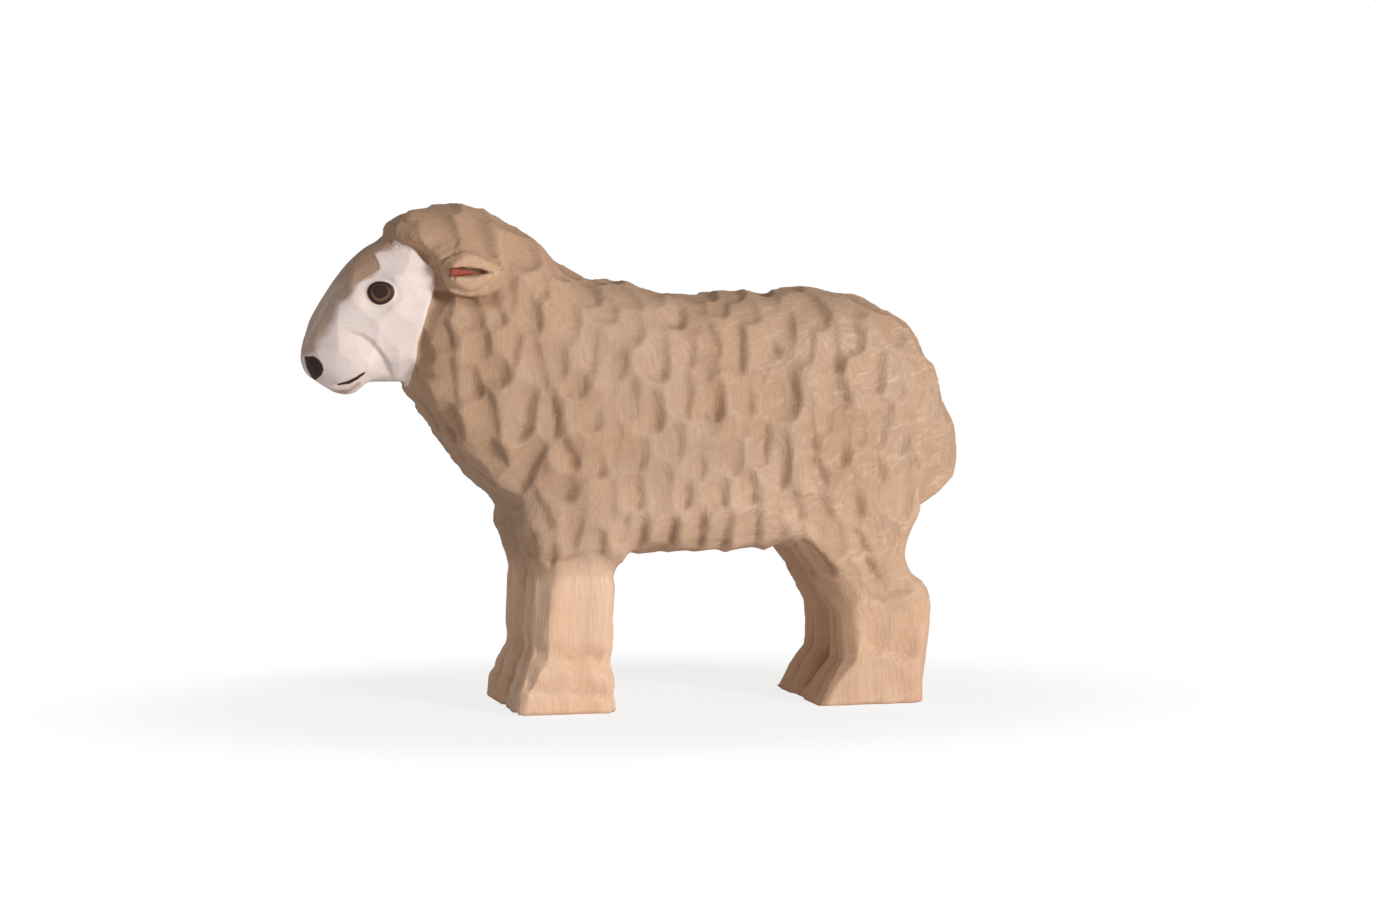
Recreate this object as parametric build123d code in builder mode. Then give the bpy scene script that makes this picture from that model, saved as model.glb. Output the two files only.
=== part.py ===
"""Sheep figurine whittled from one block of wood, with brushed coats of paint on its face and inner ears.

Millimetres. The nose points to -X, the sheep's left side to -Y, and the soles stand on Z = 0.
The origin is under the middle of the figure.
"""
from build123d import *
import math
import os

# Fleece: the woolly mass of barrel, neck and hood, from rump to forelock
fleece_length = 85.4
fleece_depth = 51.4
fleece_width = 29.0
belly_height = 22.9

# Gouge: each scoop in the fleece is one stroke of its round nose, from a shallow start to a deep end
gouge_radius = 6.5
stroke_length = 6.0
scoop_start_depth = 0.35
scoop_end_depth = 0.95
scoop_rows = 6

# Face: the bare head that comes out of the hood
face_length = 22.0
face_height = 23.6
face_width = 17.2
muzzle_reach = 12.5
chin_rise_share = 0.443

# Legs: each pair is one block, parted by a groove before and behind
leg_pair_width = 25.0
front_hoof_length = 14.4
hind_hoof_length = 15.6
front_hoof_place_share = 0.283
hind_hoof_place_share = 0.824
front_corner_cut = 2.2
rear_corner_cut = 1.2
groove_width = 7.0
groove_depth = 3.0

# Ears: almonds in relief on the hood, each with a painted slit
ear_length = 8.6
ear_height = 6.0
ear_relief = 1.2
ear_edge_cut = 0.7
ear_slit_length = 6.4
ear_slit_height = 1.7
ear_slit_depth = 1.1

# Paint: thickness of one brushed coat, and the sizes of the marks
coat = 0.16
eye_diameter = 4.0
iris_diameter = 2.9
pupil_diameter = 2.0
mouth_line_width = 0.6
most_coats = 4
cut_overrun = 3.0

# Cross-section of the fleece, from the spine down one side: shares of half the width, and of the height
fleece_section_shares = [
    (0.30, 1.00),
    (0.62, 0.95),
    (0.86, 0.84),
    (0.97, 0.68),
    (1.00, 0.50),
    (1.00, 0.30),
    (0.97, 0.15),
    (0.85, 0.04),
    (0.60, 0.00),
]

# Fleece from forelock to rump: place along the length, top and underside above the belly, width
fleece_station_shares = [
    (0.000, 0.929, 0.730, 0.38),
    (0.023, 0.962, 0.500, 0.57),
    (0.062, 0.988, 0.422, 0.70),
    (0.103, 0.998, 0.316, 0.77),
    (0.150, 0.988, 0.224, 0.83),
    (0.197, 0.956, 0.145, 0.89),
    (0.249, 0.883, 0.075, 0.93),
    (0.319, 0.790, 0.019, 0.96),
    (0.413, 0.761, 0.000, 0.99),
    (0.524, 0.722, 0.000, 1.00),
    (0.635, 0.735, 0.006, 1.00),
    (0.741, 0.741, 0.029, 0.98),
    (0.834, 0.722, 0.068, 0.94),
    (0.905, 0.655, 0.107, 0.85),
    (0.955, 0.527, 0.154, 0.68),
    (0.986, 0.402, 0.196, 0.48),
    (1.000, 0.340, 0.253, 0.28),
]

# Scoops: first and last place along the fleece, and round it from spine to belly, in columns half a step apart
# in height, and how far a scoop strays from its place in steps of the pattern
scoop_along_shares = (0.062, 0.951)
scoop_around_shares = (0.08, 0.79)
scoop_stagger_share = 0.5
scoop_stray_share = 0.2
slope_reach_share = 0.01

# Columns of scoops from forelock to rump: depth, and lean of the stroke towards the rump
scoop_column_shares = [
    (0.80, 0.50),
    (0.85, 0.50),
    (1.30, 0.20),
    (0.90, 0.20),
    (1.00, 0.00),
    (0.90, 0.10),
    (1.00, 0.00),
    (0.90, -0.10),
    (1.30, 0.00),
    (1.00, 0.30),
    (0.90, 0.40),
    (0.95, 0.30),
    (0.80, 0.20),
]

# Scoops over the tops of the legs: place along the fleece, height in belly heights, depth, and lean
cuff_scoop_shares = [
    (0.239, 1.25, 0.90, -0.10),
    (0.292, 1.22, 1.00, 0.00),
    (0.345, 1.25, 0.90, 0.05),
    (0.396, 1.30, 0.90, 0.10),
    (0.717, 1.22, 0.90, 0.45),
    (0.778, 1.20, 0.80, 0.35),
    (0.839, 1.20, 0.80, 0.25),
    (0.769, 0.94, 0.60, 0.50),
    (0.820, 0.91, 0.60, 0.40),
]
cuff_width_share = 1.05
cuff_dive_share = 0.12

# Cross-section of the face, from the nose ridge down one side: shares of half the width, and of the height
face_section_shares = [
    (0.28, 1.00),
    (0.70, 0.90),
    (0.97, 0.72),
    (1.00, 0.45),
    (0.90, 0.17),
    (0.50, 0.00),
]

# Face from nose tip to the end buried in the hood: place along the length, top and underside, width
face_station_shares = [
    (0.000, 0.309, 0.205, 0.31),
    (0.070, 0.500, 0.115, 0.52),
    (0.184, 0.665, 0.045, 0.71),
    (0.311, 0.835, 0.005, 0.80),
    (0.439, 0.936, 0.100, 0.86),
    (0.598, 1.000, 0.100, 0.97),
    (1.000, 1.000, 0.100, 1.00),
]

# Side-view outlines on the face: shares of its length back from the nose, and of its height above the chin
hood_edge_shares = [
    (0.580, 0.992),
    (0.661, 0.958),
    (0.752, 0.903),
    (0.852, 0.792),
    (0.852, 0.669),
    (0.789, 0.521),
    (0.739, 0.339),
    (0.716, 0.097),
]
bare_ridge_edge_shares = [
    (0.620, 0.973),
    (0.461, 0.891),
    (0.470, 0.806),
    (0.398, 0.760),
    (0.307, 0.696),
    (0.261, 0.633),
    (0.184, 0.628),
    (0.143, 0.561),
    (0.089, 0.472),
    (0.052, 0.395),
    (0.016, 0.319),
]
nostril_shares = [
    (0.028, 0.280),
    (0.095, 0.250),
    (0.135, 0.185),
    (0.112, 0.105),
    (0.060, 0.110),
]
mouth_line_shares = [(0.227, 0.072), (0.395, 0.157)]
eye_place_shares = (0.486, 0.661)
iris_lift_share = 0.07
pupil_lift_share = 0.19

# Legs from sole to shoulder or haunch: height in belly heights, front and rear in hoof lengths, width,
# and how much of the front corner cut and of the groove's depth is taken
front_leg_station_shares = [
    (0.00, -0.51, 0.53, 1.00, 0.4, 0.1),
    (0.16, -0.48, 0.53, 1.00, 0.5, 0.3),
    (0.25, -0.42, 0.51, 0.98, 0.8, 0.7),
    (0.36, -0.35, 0.50, 0.96, 1.0, 1.0),
    (0.60, -0.33, 0.51, 0.95, 1.0, 1.0),
    (0.88, -0.31, 0.54, 0.95, 1.0, 1.0),
    (0.98, -0.36, 0.62, 1.02, 1.0, 1.0),
    (1.17, -0.43, 0.82, 1.05, 1.0, 0.8),
    (1.50, -0.30, 0.90, 0.92, 1.0, 0.2),
]
hind_leg_station_shares = [
    (0.00, -0.53, 0.53, 1.00, 0.4, 0.1),
    (0.16, -0.41, 0.53, 1.00, 0.5, 0.3),
    (0.29, -0.28, 0.56, 0.98, 0.8, 0.7),
    (0.45, -0.27, 0.58, 0.96, 1.0, 1.0),
    (0.60, -0.30, 0.58, 0.96, 1.0, 1.0),
    (0.73, -0.39, 0.57, 0.97, 1.0, 1.0),
    (0.82, -0.48, 0.42, 0.99, 1.0, 1.0),
    (0.98, -0.61, 0.30, 1.03, 1.0, 1.0),
    (1.16, -0.80, 0.39, 1.06, 1.0, 0.8),
    (1.40, -0.95, 0.50, 1.03, 1.0, 0.4),
    (1.65, -0.90, 0.45, 0.90, 1.0, 0.2),
]
groove_floor_share = 0.25

# Ears: place on the hood in shares of the fleece length and depth, the hood's half width there, the almond
ear_place_shares = (0.124, 0.802)
ear_seat_share = 0.725
ear_fullest_share = 0.40
ear_slit_lead_share = 0.42
ear_paint_length_share = 0.72

# Places that follow from the sizes
rump_x = (fleece_length + muzzle_reach) / 2
forelock_x = rump_x - fleece_length
nose_x = forelock_x - muzzle_reach
chin_z = belly_height + chin_rise_share * fleece_depth


def fleece_point(along, up):
    """Side-view place on the fleece, from shares of its length and of its depth above the belly."""
    return (forelock_x + along * fleece_length, belly_height + up * fleece_depth)


def face_point(along, up):
    """Side-view place on the face, from shares of its length behind the nose and height above the chin."""
    return (nose_x + along * face_length, chin_z + up * face_height)


def section_outline(section_shares, half_width, top, underside):
    """Closed outline of a cross-section that is the same on both sides of the figure."""
    near_side = [
        (-across * half_width, underside + up * (top - underside))
        for across, up in section_shares
    ]
    far_side = [(-y, z) for y, z in reversed(near_side)]
    return near_side + far_side


def fleece_side(along, around):
    """Place on the near side of the fleece, from shares of its length and of the way from spine to belly."""
    for ahead, behind in zip(fleece_station_shares, fleece_station_shares[1:]):
        if along <= behind[0]:
            break
    part = (along - ahead[0]) / (behind[0] - ahead[0])
    _, top, underside, width = [a + part * (b - a) for a, b in zip(ahead, behind)]
    station_x, top_z = fleece_point(along, top)
    underside_z = fleece_point(along, underside)[1]
    outline = section_outline(fleece_section_shares, width * fleece_width / 2, top_z, underside_z)
    corners = [Vector(station_x, 0, top_z)]
    corners += [Vector(station_x, y, z) for y, z in outline[: len(fleece_section_shares)]]
    return Polyline(*corners) @ around


def stroke_plane(at, way, outward, depth_share):
    """Plane across a stroke of the gouge, which goes deeper into the wood as it goes."""
    half_stroke = stroke_length / 2 * way.normalized()
    start = at - half_stroke + (gouge_radius - depth_share * scoop_start_depth) * outward
    end = at + half_stroke + (gouge_radius - depth_share * scoop_end_depth) * outward
    return Plane(origin=start, z_dir=end - start)


def fleece_stroke(along, around, depth_share, lean):
    """A stroke down the near side of the fleece."""
    above = fleece_side(along, around - slope_reach_share)
    below = fleece_side(along, around + slope_reach_share)
    ahead = fleece_side(along - slope_reach_share, around)
    behind = fleece_side(along + slope_reach_share, around)
    down = (below - above).normalized()
    back = (behind - ahead).normalized()
    outward = down.cross(back).normalized()
    return stroke_plane(fleece_side(along, around), down + lean * back, outward, depth_share)


def cuff_stroke(along, height, depth_share, lean):
    """A stroke down the near side of a leg's top, which dives in under the fleece."""
    at = Vector(fleece_point(along, 0)[0], -cuff_width_share * leg_pair_width / 2, height * belly_height)
    return stroke_plane(at, Vector(lean, cuff_dive_share, -1), Vector(0, -1, 0), depth_share)


def scoop_column(column):
    """The strokes of one column of scoops, from spine to belly."""
    depth_share, lean = scoop_column_shares[column]
    first_along, last_along = scoop_along_shares
    first_around, last_around = scoop_around_shares
    along_step = (last_along - first_along) / (len(scoop_column_shares) - 1)
    around_step = (last_around - first_around) / (scoop_rows - 1)
    lowered = scoop_stagger_share * (column % 2) - scoop_stagger_share / 2
    strokes = []
    for row in range(scoop_rows):
        along = first_along + (column + scoop_stray_share * math.sin(column * column + row)) * along_step
        around = first_around + (row + lowered + scoop_stray_share * math.sin(row * row + column)) * around_step
        strokes.append(fleece_stroke(along, around, depth_share, lean))
    return strokes


def face_form(coats):
    """The face grown by a number of coats of paint."""
    grown = coats * coat
    with BuildPart() as form:
        for along, top, underside, width in face_station_shares:
            station_x, top_z = face_point(along, top)
            underside_z = face_point(along, underside)[1]
            if along == 0:
                station_x -= grown
            with BuildSketch(Plane.YZ.offset(station_x)):
                Polygon(
                    *section_outline(
                        face_section_shares,
                        width * face_width / 2 + grown,
                        top_z + grown,
                        underside_z - grown,
                    ),
                    align=None,
                )
        loft(ruled=True)
    return form.part


def leg_outline(front_x, rear_x, half_width, front_cut, groove):
    """Plan of a leg pair at one height: cut corners, and a groove before and behind that parts the legs."""
    groove_edge_y = -groove_width / 2
    groove_floor_y = groove_floor_share * groove_edge_y
    near_side = [
        (front_x + groove, groove_floor_y),
        (front_x, groove_edge_y),
        (front_x, -half_width + front_cut),
        (front_x + front_cut, -half_width),
        (rear_x - rear_corner_cut, -half_width),
        (rear_x, -half_width + rear_corner_cut),
        (rear_x, groove_edge_y),
        (rear_x - groove, groove_floor_y),
    ]
    far_side = [(x, -y) for x, y in reversed(near_side)]
    return near_side + far_side


def leg_pair(station_shares, hoof_length, hoof_x):
    """Two legs left joined as one block."""
    with BuildPart() as legs:
        for height, front, rear, width, corner, groove in station_shares:
            with BuildSketch(Plane.XY.offset(height * belly_height)):
                Polygon(
                    *leg_outline(
                        hoof_x + front * hoof_length,
                        hoof_x + rear * hoof_length,
                        width * leg_pair_width / 2,
                        corner * front_corner_cut,
                        groove * groove_depth,
                    ),
                    align=None,
                )
        loft(ruled=True)
    return legs.part


def ear_almond(plane, length, height, center_x, center_z):
    """Side-view almond on a plane, with its fullest point towards the face."""
    front_x = center_x - length / 2
    full_x = front_x + ear_fullest_share * length
    with BuildSketch(plane) as almond:
        with BuildLine():
            Spline((front_x, center_z), (full_x, center_z + height / 2), (front_x + length, center_z))
            Spline((front_x, center_z), (full_x, center_z - height / 2), (front_x + length, center_z))
        make_face()
    return almond.sketch


os.makedirs("parts", exist_ok=True)

# Fleece on its legs: one side, scooped by the gouge and cut back to frame the face, and the other side like it
hood_edge = [face_point(along, up) for along, up in hood_edge_shares]
face_front_x = nose_x - cut_overrun
throat_z = chin_z - cut_overrun
front_hoof_x = fleece_point(front_hoof_place_share, 0)[0]
hind_hoof_x = fleece_point(hind_hoof_place_share, 0)[0]
scoop_columns = [scoop_column(column) for column in range(len(scoop_column_shares))]
cuff_strokes = [cuff_stroke(*shares) for shares in cuff_scoop_shares]
with BuildPart() as gouge_stroke:
    Cylinder(gouge_radius, stroke_length, align=(Align.CENTER, Align.CENTER, Align.MIN))
    with Locations((0, 0, stroke_length)):
        Sphere(gouge_radius)
with BuildPart() as fleece:
    for along, top, underside, width in fleece_station_shares:
        station_x, top_z = fleece_point(along, top)
        underside_z = fleece_point(along, underside)[1]
        with BuildSketch(Plane.YZ.offset(station_x)):
            Polygon(
                *section_outline(fleece_section_shares, width * fleece_width / 2, top_z, underside_z),
                align=None,
            )
    loft(ruled=True)
    split(bisect_by=Plane.XZ, keep=Keep.TOP)
    for strokes in scoop_columns:
        with Locations(*strokes):
            add(gouge_stroke.part, mode=Mode.SUBTRACT)
    add(leg_pair(front_leg_station_shares, front_hoof_length, front_hoof_x))
    add(leg_pair(hind_leg_station_shares, hind_hoof_length, hind_hoof_x))
    split(bisect_by=Plane.XZ, keep=Keep.TOP)
    with Locations(*cuff_strokes):
        add(gouge_stroke.part, mode=Mode.SUBTRACT)
    with BuildSketch(Plane.XZ):
        Polygon(
            (face_front_x, hood_edge[0][1]),
            *hood_edge,
            (hood_edge[-1][0], throat_z),
            (face_front_x, throat_z),
            align=None,
        )
    extrude(amount=fleece_width, both=True, mode=Mode.SUBTRACT)
    mirror(about=Plane.XZ)

# Ears in relief on the hood
ear_x, ear_z = fleece_point(*ear_place_shares)
ear_face = ear_seat_share * fleece_width / 2 + ear_relief
with BuildPart() as left_ear:
    extrude(ear_almond(Plane.XZ, ear_length, ear_height, ear_x, ear_z), amount=ear_face)
    outer_face = left_ear.faces().sort_by(Axis.Y)[0]
    chamfer(outer_face.edges(), length=ear_edge_cut)

# The wood: fleece on its legs, face and ears in one block, with a slit sunk into each ear
sides = [("left", 1), ("right", -1)]
ear_slit_x = ear_x - ear_length / 2 + ear_slit_lead_share * ear_length
slit_floor = ear_face - ear_slit_depth
face_forms = [face_form(coats) for coats in range(most_coats + 1)]
with BuildPart() as carved_body:
    add(fleece.part)
    add(face_forms[0])
    add(left_ear.part)
    mirror(left_ear.part, about=Plane.XZ)
    for _, side in sides:
        slit_plane = Plane.XZ.offset(side * slit_floor)
        extrude(
            ear_almond(slit_plane, ear_slit_length, ear_slit_height, ear_slit_x, ear_z),
            amount=side * (ear_slit_depth + cut_overrun),
            mode=Mode.SUBTRACT,
        )
carved_body.part.label = "carved_body"
export_step(carved_body.part, "parts/carved_body.step")

# White coat on cheeks, jaw and muzzle, up to the hood and to the edge of the bare nose ridge
bare_ridge_edge = [face_point(along, up) for along, up in bare_ridge_edge_shares]
painted_hood_edge = [(x, z) for x, z in hood_edge if z < bare_ridge_edge[0][1]]
with BuildPart() as face_paint:
    add(face_forms[1])
    add(face_forms[0], mode=Mode.SUBTRACT)
    with BuildSketch(Plane.XZ):
        Polygon(
            (face_front_x, throat_z),
            (face_front_x, bare_ridge_edge[-1][1]),
            *reversed(bare_ridge_edge),
            *painted_hood_edge,
            (painted_hood_edge[-1][0], throat_z),
            align=None,
        )
    extrude(amount=fleece_width, both=True, mode=Mode.INTERSECT)
face_paint.part.label = "face_paint"
export_step(face_paint.part, "parts/face_paint.step")

# Marks on the white coat, the same on both sides
mouth_front = face_point(*mouth_line_shares[0])
mouth_corner = face_point(*mouth_line_shares[1])
eye_x, eye_z = face_point(*eye_place_shares)

with BuildSketch(Plane.XZ) as nostril:
    Polygon(*[face_point(along, up) for along, up in nostril_shares], align=None)

with BuildSketch(Plane.XZ) as mouth_line:
    with BuildLine():
        Line(mouth_front, mouth_corner)
    trace(line_width=mouth_line_width)

with BuildSketch(Plane.XZ) as eye_rim:
    with Locations((eye_x, eye_z)):
        Circle(eye_diameter / 2)

with BuildSketch(Plane.XZ) as iris:
    with Locations((eye_x, eye_z + iris_lift_share * eye_diameter)):
        Circle(iris_diameter / 2)

with BuildSketch(Plane.XZ) as pupil:
    with Locations((eye_x, eye_z + pupil_lift_share * eye_diameter)):
        Circle(pupil_diameter / 2)

# Each mark, its outline and the number of the coat that it is brushed on in
face_marks = [
    ("nostril", nostril, 2),
    ("mouth_line", mouth_line, 2),
    ("eye_rim", eye_rim, 2),
    ("eye_iris", iris, 3),
    ("eye_pupil", pupil, 4),
]
for mark_name, outline, coats in face_marks:
    for side_name, side in sides:
        with BuildPart() as mark:
            add(face_forms[coats])
            add(face_forms[coats - 1], mode=Mode.SUBTRACT)
            extrude(outline.sketch, amount=side * fleece_width, mode=Mode.INTERSECT)
        mark.part.label = f"{mark_name}_{side_name}"
        export_step(mark.part, f"parts/{mark_name}_{side_name}.step")

# Red coat on the floor of each ear slit, from its front end
for side_name, side in sides:
    with BuildPart() as ear_paint:
        with BuildSketch(Plane.XZ.offset(side * slit_floor)):
            add(ear_almond(Plane.XY, ear_slit_length, ear_slit_height, ear_slit_x, ear_z))
            with Locations((ear_slit_x - ear_slit_length / 2, ear_z)):
                Rectangle(
                    2 * ear_paint_length_share * ear_slit_length,
                    ear_height,
                    mode=Mode.INTERSECT,
                )
        extrude(amount=side * coat)
    ear_paint.part.label = f"ear_paint_{side_name}"
    export_step(ear_paint.part, f"parts/ear_paint_{side_name}.step")
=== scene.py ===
"""Looks of a carved wooden sheep figurine: gouged fleece, plain legs and a painted face."""

import math
from functools import lru_cache

import bpy
import numpy as np
from bpy.props import FloatProperty, FloatVectorProperty, IntProperty, PointerProperty
from bpy.types import Operator, Panel, PropertyGroup
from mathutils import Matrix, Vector
from mathutils.bvhtree import BVHTree


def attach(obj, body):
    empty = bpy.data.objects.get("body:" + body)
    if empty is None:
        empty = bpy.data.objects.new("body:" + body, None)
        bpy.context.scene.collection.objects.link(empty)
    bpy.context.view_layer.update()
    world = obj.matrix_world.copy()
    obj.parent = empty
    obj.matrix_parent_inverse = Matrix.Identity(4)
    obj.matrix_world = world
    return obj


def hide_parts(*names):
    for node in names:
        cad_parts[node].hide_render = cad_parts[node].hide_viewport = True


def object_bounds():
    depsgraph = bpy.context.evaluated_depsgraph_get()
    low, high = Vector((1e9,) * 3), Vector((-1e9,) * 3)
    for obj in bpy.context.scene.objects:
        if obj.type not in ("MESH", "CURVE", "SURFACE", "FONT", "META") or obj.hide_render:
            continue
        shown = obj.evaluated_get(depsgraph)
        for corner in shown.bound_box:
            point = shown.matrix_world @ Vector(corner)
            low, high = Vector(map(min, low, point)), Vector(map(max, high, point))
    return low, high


bl_info = {
    "name": "Carved Sheep",
    "version": (1, 0, 0),
    "blender": (4, 5, 0),
    "location": "3D View > Sidebar > Sheep",
    "description": "Carves and paints a small wooden sheep over its CAD frame",
    "category": "Add Mesh",
}

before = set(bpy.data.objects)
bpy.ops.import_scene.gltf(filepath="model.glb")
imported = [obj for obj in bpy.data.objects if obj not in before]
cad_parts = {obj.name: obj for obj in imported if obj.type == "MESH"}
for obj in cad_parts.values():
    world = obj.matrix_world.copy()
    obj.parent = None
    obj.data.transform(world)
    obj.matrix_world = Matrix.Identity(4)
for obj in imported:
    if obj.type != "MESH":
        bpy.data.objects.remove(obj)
cad_low, cad_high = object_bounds()

MM = 0.001
WHITE = (1.0, 1.0, 1.0)

# The photograph's camera, the floor and the sky: metres and degrees, with azimuth 0 facing the near side.
PHOTO_TARGET = (8.85 * MM, 0.0, 35.93 * MM)
PHOTO_AZIMUTH = -14.3
PHOTO_ELEVATION = 4.1
PHOTO_DISTANCE = 0.6
PHOTO_LENS = 105.8
PHOTO_SENSOR = 36.0
FLOOR_REACH = 3.0
SKY_STRENGTH = 0.34

# Lengths and heights on the sheep in millimetres.
HEAD_FLOOR = 44.0
BETWEEN_LEGS = 8.0
FILM_ROOT = 0.30
FILM_EDGE_BAND = 0.7
SHANK_CUT_LENGTH = 16.0
FACE_CUT_LENGTH = 8.0
EYE_PATCH = 3.5
# The left and the right side, with the span of y in which each is painted.
SIDES = (("left", -20.0, -0.4), ("right", 0.4, 20.0))
# Widths of the soft steps between the face and the hood, and between the fleece and the front legs.
HOOD_STEP = (-0.9, -0.1)
CUFF_STEP = 0.5
# Relief in millimetres: height or depth, and how far it reaches.
EYEBALL_HEIGHT = 0.40
EYEBALL_RADIUS = 2.0
EYE_RING_DEPTH = 0.18
EYE_RING_RADIUS = 2.3
EYE_RING_REACH = 0.9
EAR_LOBE_HEIGHT = 0.30
EAR_SLIT_DEPTH = 0.55
PARTING_DEPTH = 1.5
PARTING_REACH = 1.7
LEG_GROOVE_DEPTH = 0.9
LEG_GROOVE_REACH = 1.5
LEG_GROOVE_PLACE = 6.6
ANKLE_HEIGHT = 9.3
ANKLE_STEP = 0.70
CORONET_HEIGHT = 4.0
CORONET_STEP = 0.65
CUFF_TUCK = 0.15
UNDER_PAINT_DEPTH = 0.25
# Shares, slopes and counts of the carving.
EYE_FLATNESS = 1.12
ANKLE_SLOPE = 0.19
CORONET_SLOPE = 0.13
SIDE_FALL = 0.45
NECK_LEAN = 0.12
HAUNCH_LEAN = 0.45
HEAD_SMALLER = 0.20
HOOD_LARGER = 0.32
BACK_SMALLER = 0.12
HIND_PALE_SHARE = 0.55
# Painted light from the floor on the lower belly.
BELLY_BOUNCE_LIGHT_SHARE = 0.24
EAR_PALE_SHARE = 0.30
SPINE_EVENED_SHARE = 0.55
HEAD_FILLED_SHARE = 0.9
STROKE_SPREAD = 9.0
SIZE_SPREAD = (0.78, 1.34)
DEPTH_SPREAD = (0.7, 1.25)
FLEECE_PACKING = 1.2
KNIFE_PACKING = 1.3
SCOOP_TRIES = 16000
SLIT_STEPS = 64

# Places on the sheep in millimetres, as (x, z) in side view unless another order is given.
HOOD_EDGE = (
    (-36.2, 70.2), (-34.4, 68.3), (-32.4, 67.0), (-30.2, 64.4), (-30.2, 61.5),
    (-31.6, 58.0), (-32.7, 53.7), (-33.2, 48.0), (-33.2, 44.6),
)
BARE_RIDGE_EDGE = (
    (-35.1, 69.0), (-38.8, 66.7), (-38.6, 64.7), (-40.2, 63.6), (-42.2, 62.1), (-43.2, 60.6), (-44.9, 60.5),
    (-45.8, 58.9), (-47.0, 56.8), (-47.8, 55.0), (-48.6, 53.2), (-49.8, 52.0),
)
SMILE_FOLD = ((-43.2, 55.5), (-41.1, 54.8), (-39.8, 53.9), (-38.3, 51.9), (-37.3, 50.3), (-36.4, 48.3))
LIP_CUT = ((-46.4, 47.7), (-44.0, 47.6), (-42.7, 48.0), (-41.6, 48.7), (-40.8, 49.5))
MOUTH = ((-44.2, 47.6), (-42.7, 48.0), (-41.6, 48.7), (-40.7, 49.6))
NOSTRIL = (
    (-49.0, 51.9), (-47.8, 52.0), (-47.1, 51.6), (-46.6, 50.9), (-46.4, 50.1), (-46.6, 49.2), (-47.2, 48.4),
    (-48.0, 48.1), (-49.0, 48.9),
)
EYE_CENTRE = (-38.5, 61.2)
# Half width of the cheeks under the hood, as (half width, z).
CHEEK_HALF_WIDTH = ((4.2, 48.0), (7.6, 51.6), (8.45, 57.6), (8.2, 63.3), (5.9, 67.2), (2.4, 69.3))
EAR_ALMOND = (
    (-30.4, 64.2), (-29.7, 66.2), (-27.4, 67.2), (-24.8, 66.4), (-21.7, 64.4), (-22.8, 62.5),
    (-26.3, 60.9), (-29.2, 61.8),
)
EAR_SLIT = (
    (-29.2, 64.7), (-27.3, 65.0), (-24.6, 64.6), (-22.9, 64.0), (-24.8, 63.7), (-27.2, 63.5), (-29.2, 63.4),
)
EAR_WEDGE = (
    (-29.0, 64.6), (-28.3, 64.7), (-27.4, 64.5), (-26.0, 64.2), (-24.9, 64.0), (-26.0, 63.85), (-27.4, 63.7),
    (-28.3, 63.6), (-29.0, 63.6),
)
# The red paint of the ear: distances from the middle plane of the sheep, and the height of its crown.
EAR_PAINT_LEVEL = 11.05
EAR_PAINT_FLOOR = 10.3
EAR_PAINT_CROWN = 0.12
UNDER_EAR = ((-31.4, 61.6), (-29.0, 60.9), (-26.3, 60.2), (-23.5, 60.6), (-21.6, 62.0))
# Deep scoops, listed one by one: x, z, lean of the stroke, half width, half length and depth.
NECK_SCOOPS = (
    (-18.2, 44.2, -0.25, 3.0, 5.8, 1.25), (-17.4, 36.4, -0.5, 2.6, 6.4, 1.3),
    (-12.4, 38.4, 0.5, 2.2, 4.2, 0.95),
)
HAUNCH_SCOOPS = (
    (18.2, 54.6, 0.3, 3.0, 4.6, 0.95), (20.4, 47.0, 0.1, 3.3, 5.2, 1.10),
    (19.6, 36.6, -0.1, 2.7, 5.4, 0.95), (24.6, 36.2, 0.6, 2.5, 5.0, 0.90),
)
BELLY_SCOOPS = (
    (-1.0, 26.6, 0.0, 2.4, 4.6, 1.15), (3.2, 26.4, 0.0, 2.3, 4.4, 1.25), (7.4, 26.3, 0.05, 2.2, 4.6, 1.25),
    (11.5, 26.6, 0.0, 2.3, 4.8, 1.15), (15.9, 27.2, 0.05, 2.6, 5.0, 1.2), (-2.4, 32.6, 0.1, 2.8, 4.4, 0.85),
    (5.3, 32.6, 0.0, 2.5, 4.2, 0.85), (10.4, 33.0, 0.0, 2.6, 4.4, 0.9), (14.9, 33.4, 0.1, 2.6, 4.6, 0.9),
)
CUFF_SCOOPS = (
    (-17.6, 26.2, 0.0, 2.2, 4.4, 0.9), (-7.4, 26.0, 0.05, 2.3, 4.4, 0.95), (-3.6, 27.4, 0.1, 2.3, 4.4, 0.95),
    (24.2, 22.6, 0.75, 1.9, 5.2, 0.6), (30.6, 19.6, 0.5, 2.2, 4.0, 0.45), (35.4, 19.4, 0.2, 2.2, 3.6, 0.45),
)
THIGH_SCOOPS = (
    (25.2, 22.5, 0.97, 2.0, 5.4, 1.2), (31.4, 25.4, 0.6, 2.0, 4.2, 0.6), (33.4, 20.8, 0.7, 1.9, 4.2, 0.65),
    (38.2, 20.2, 0.5, 2.0, 4.0, 0.6),
)
SHANK_SCOOPS = (
    (33.6, 11.8, 0.4, 3.2, 4.6, 0.45), (38.6, 10.8, 0.0, 3.0, 5.0, 0.40), (36.4, 3.6, 1.2, 2.6, 4.6, 0.35),
)
HOCK_CUT = ((31.6, 15.1), (33.4, 15.9), (35.6, 15.5), (38.4, 16.5), (42.0, 16.8))
FETLOCK_CUT = ((31.2, 10.8), (32.9, 10.2), (34.6, 8.7), (36.6, 8.0), (39.0, 7.6), (42.0, 6.9))
LOWER_LIP = ((-46.2, 46.9), (-44.2, 46.4), (-42.6, 46.7), (-41.2, 47.9))
FRONT_CUFF = (
    (-17.5, 22.6), (-15.6, 22.0), (-14.6, 21.4), (-13.4, 22.6), (-10.2, 23.5), (-6.8, 23.0), (-4.7, 21.9),
    (-2.0, 21.5),
)
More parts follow.
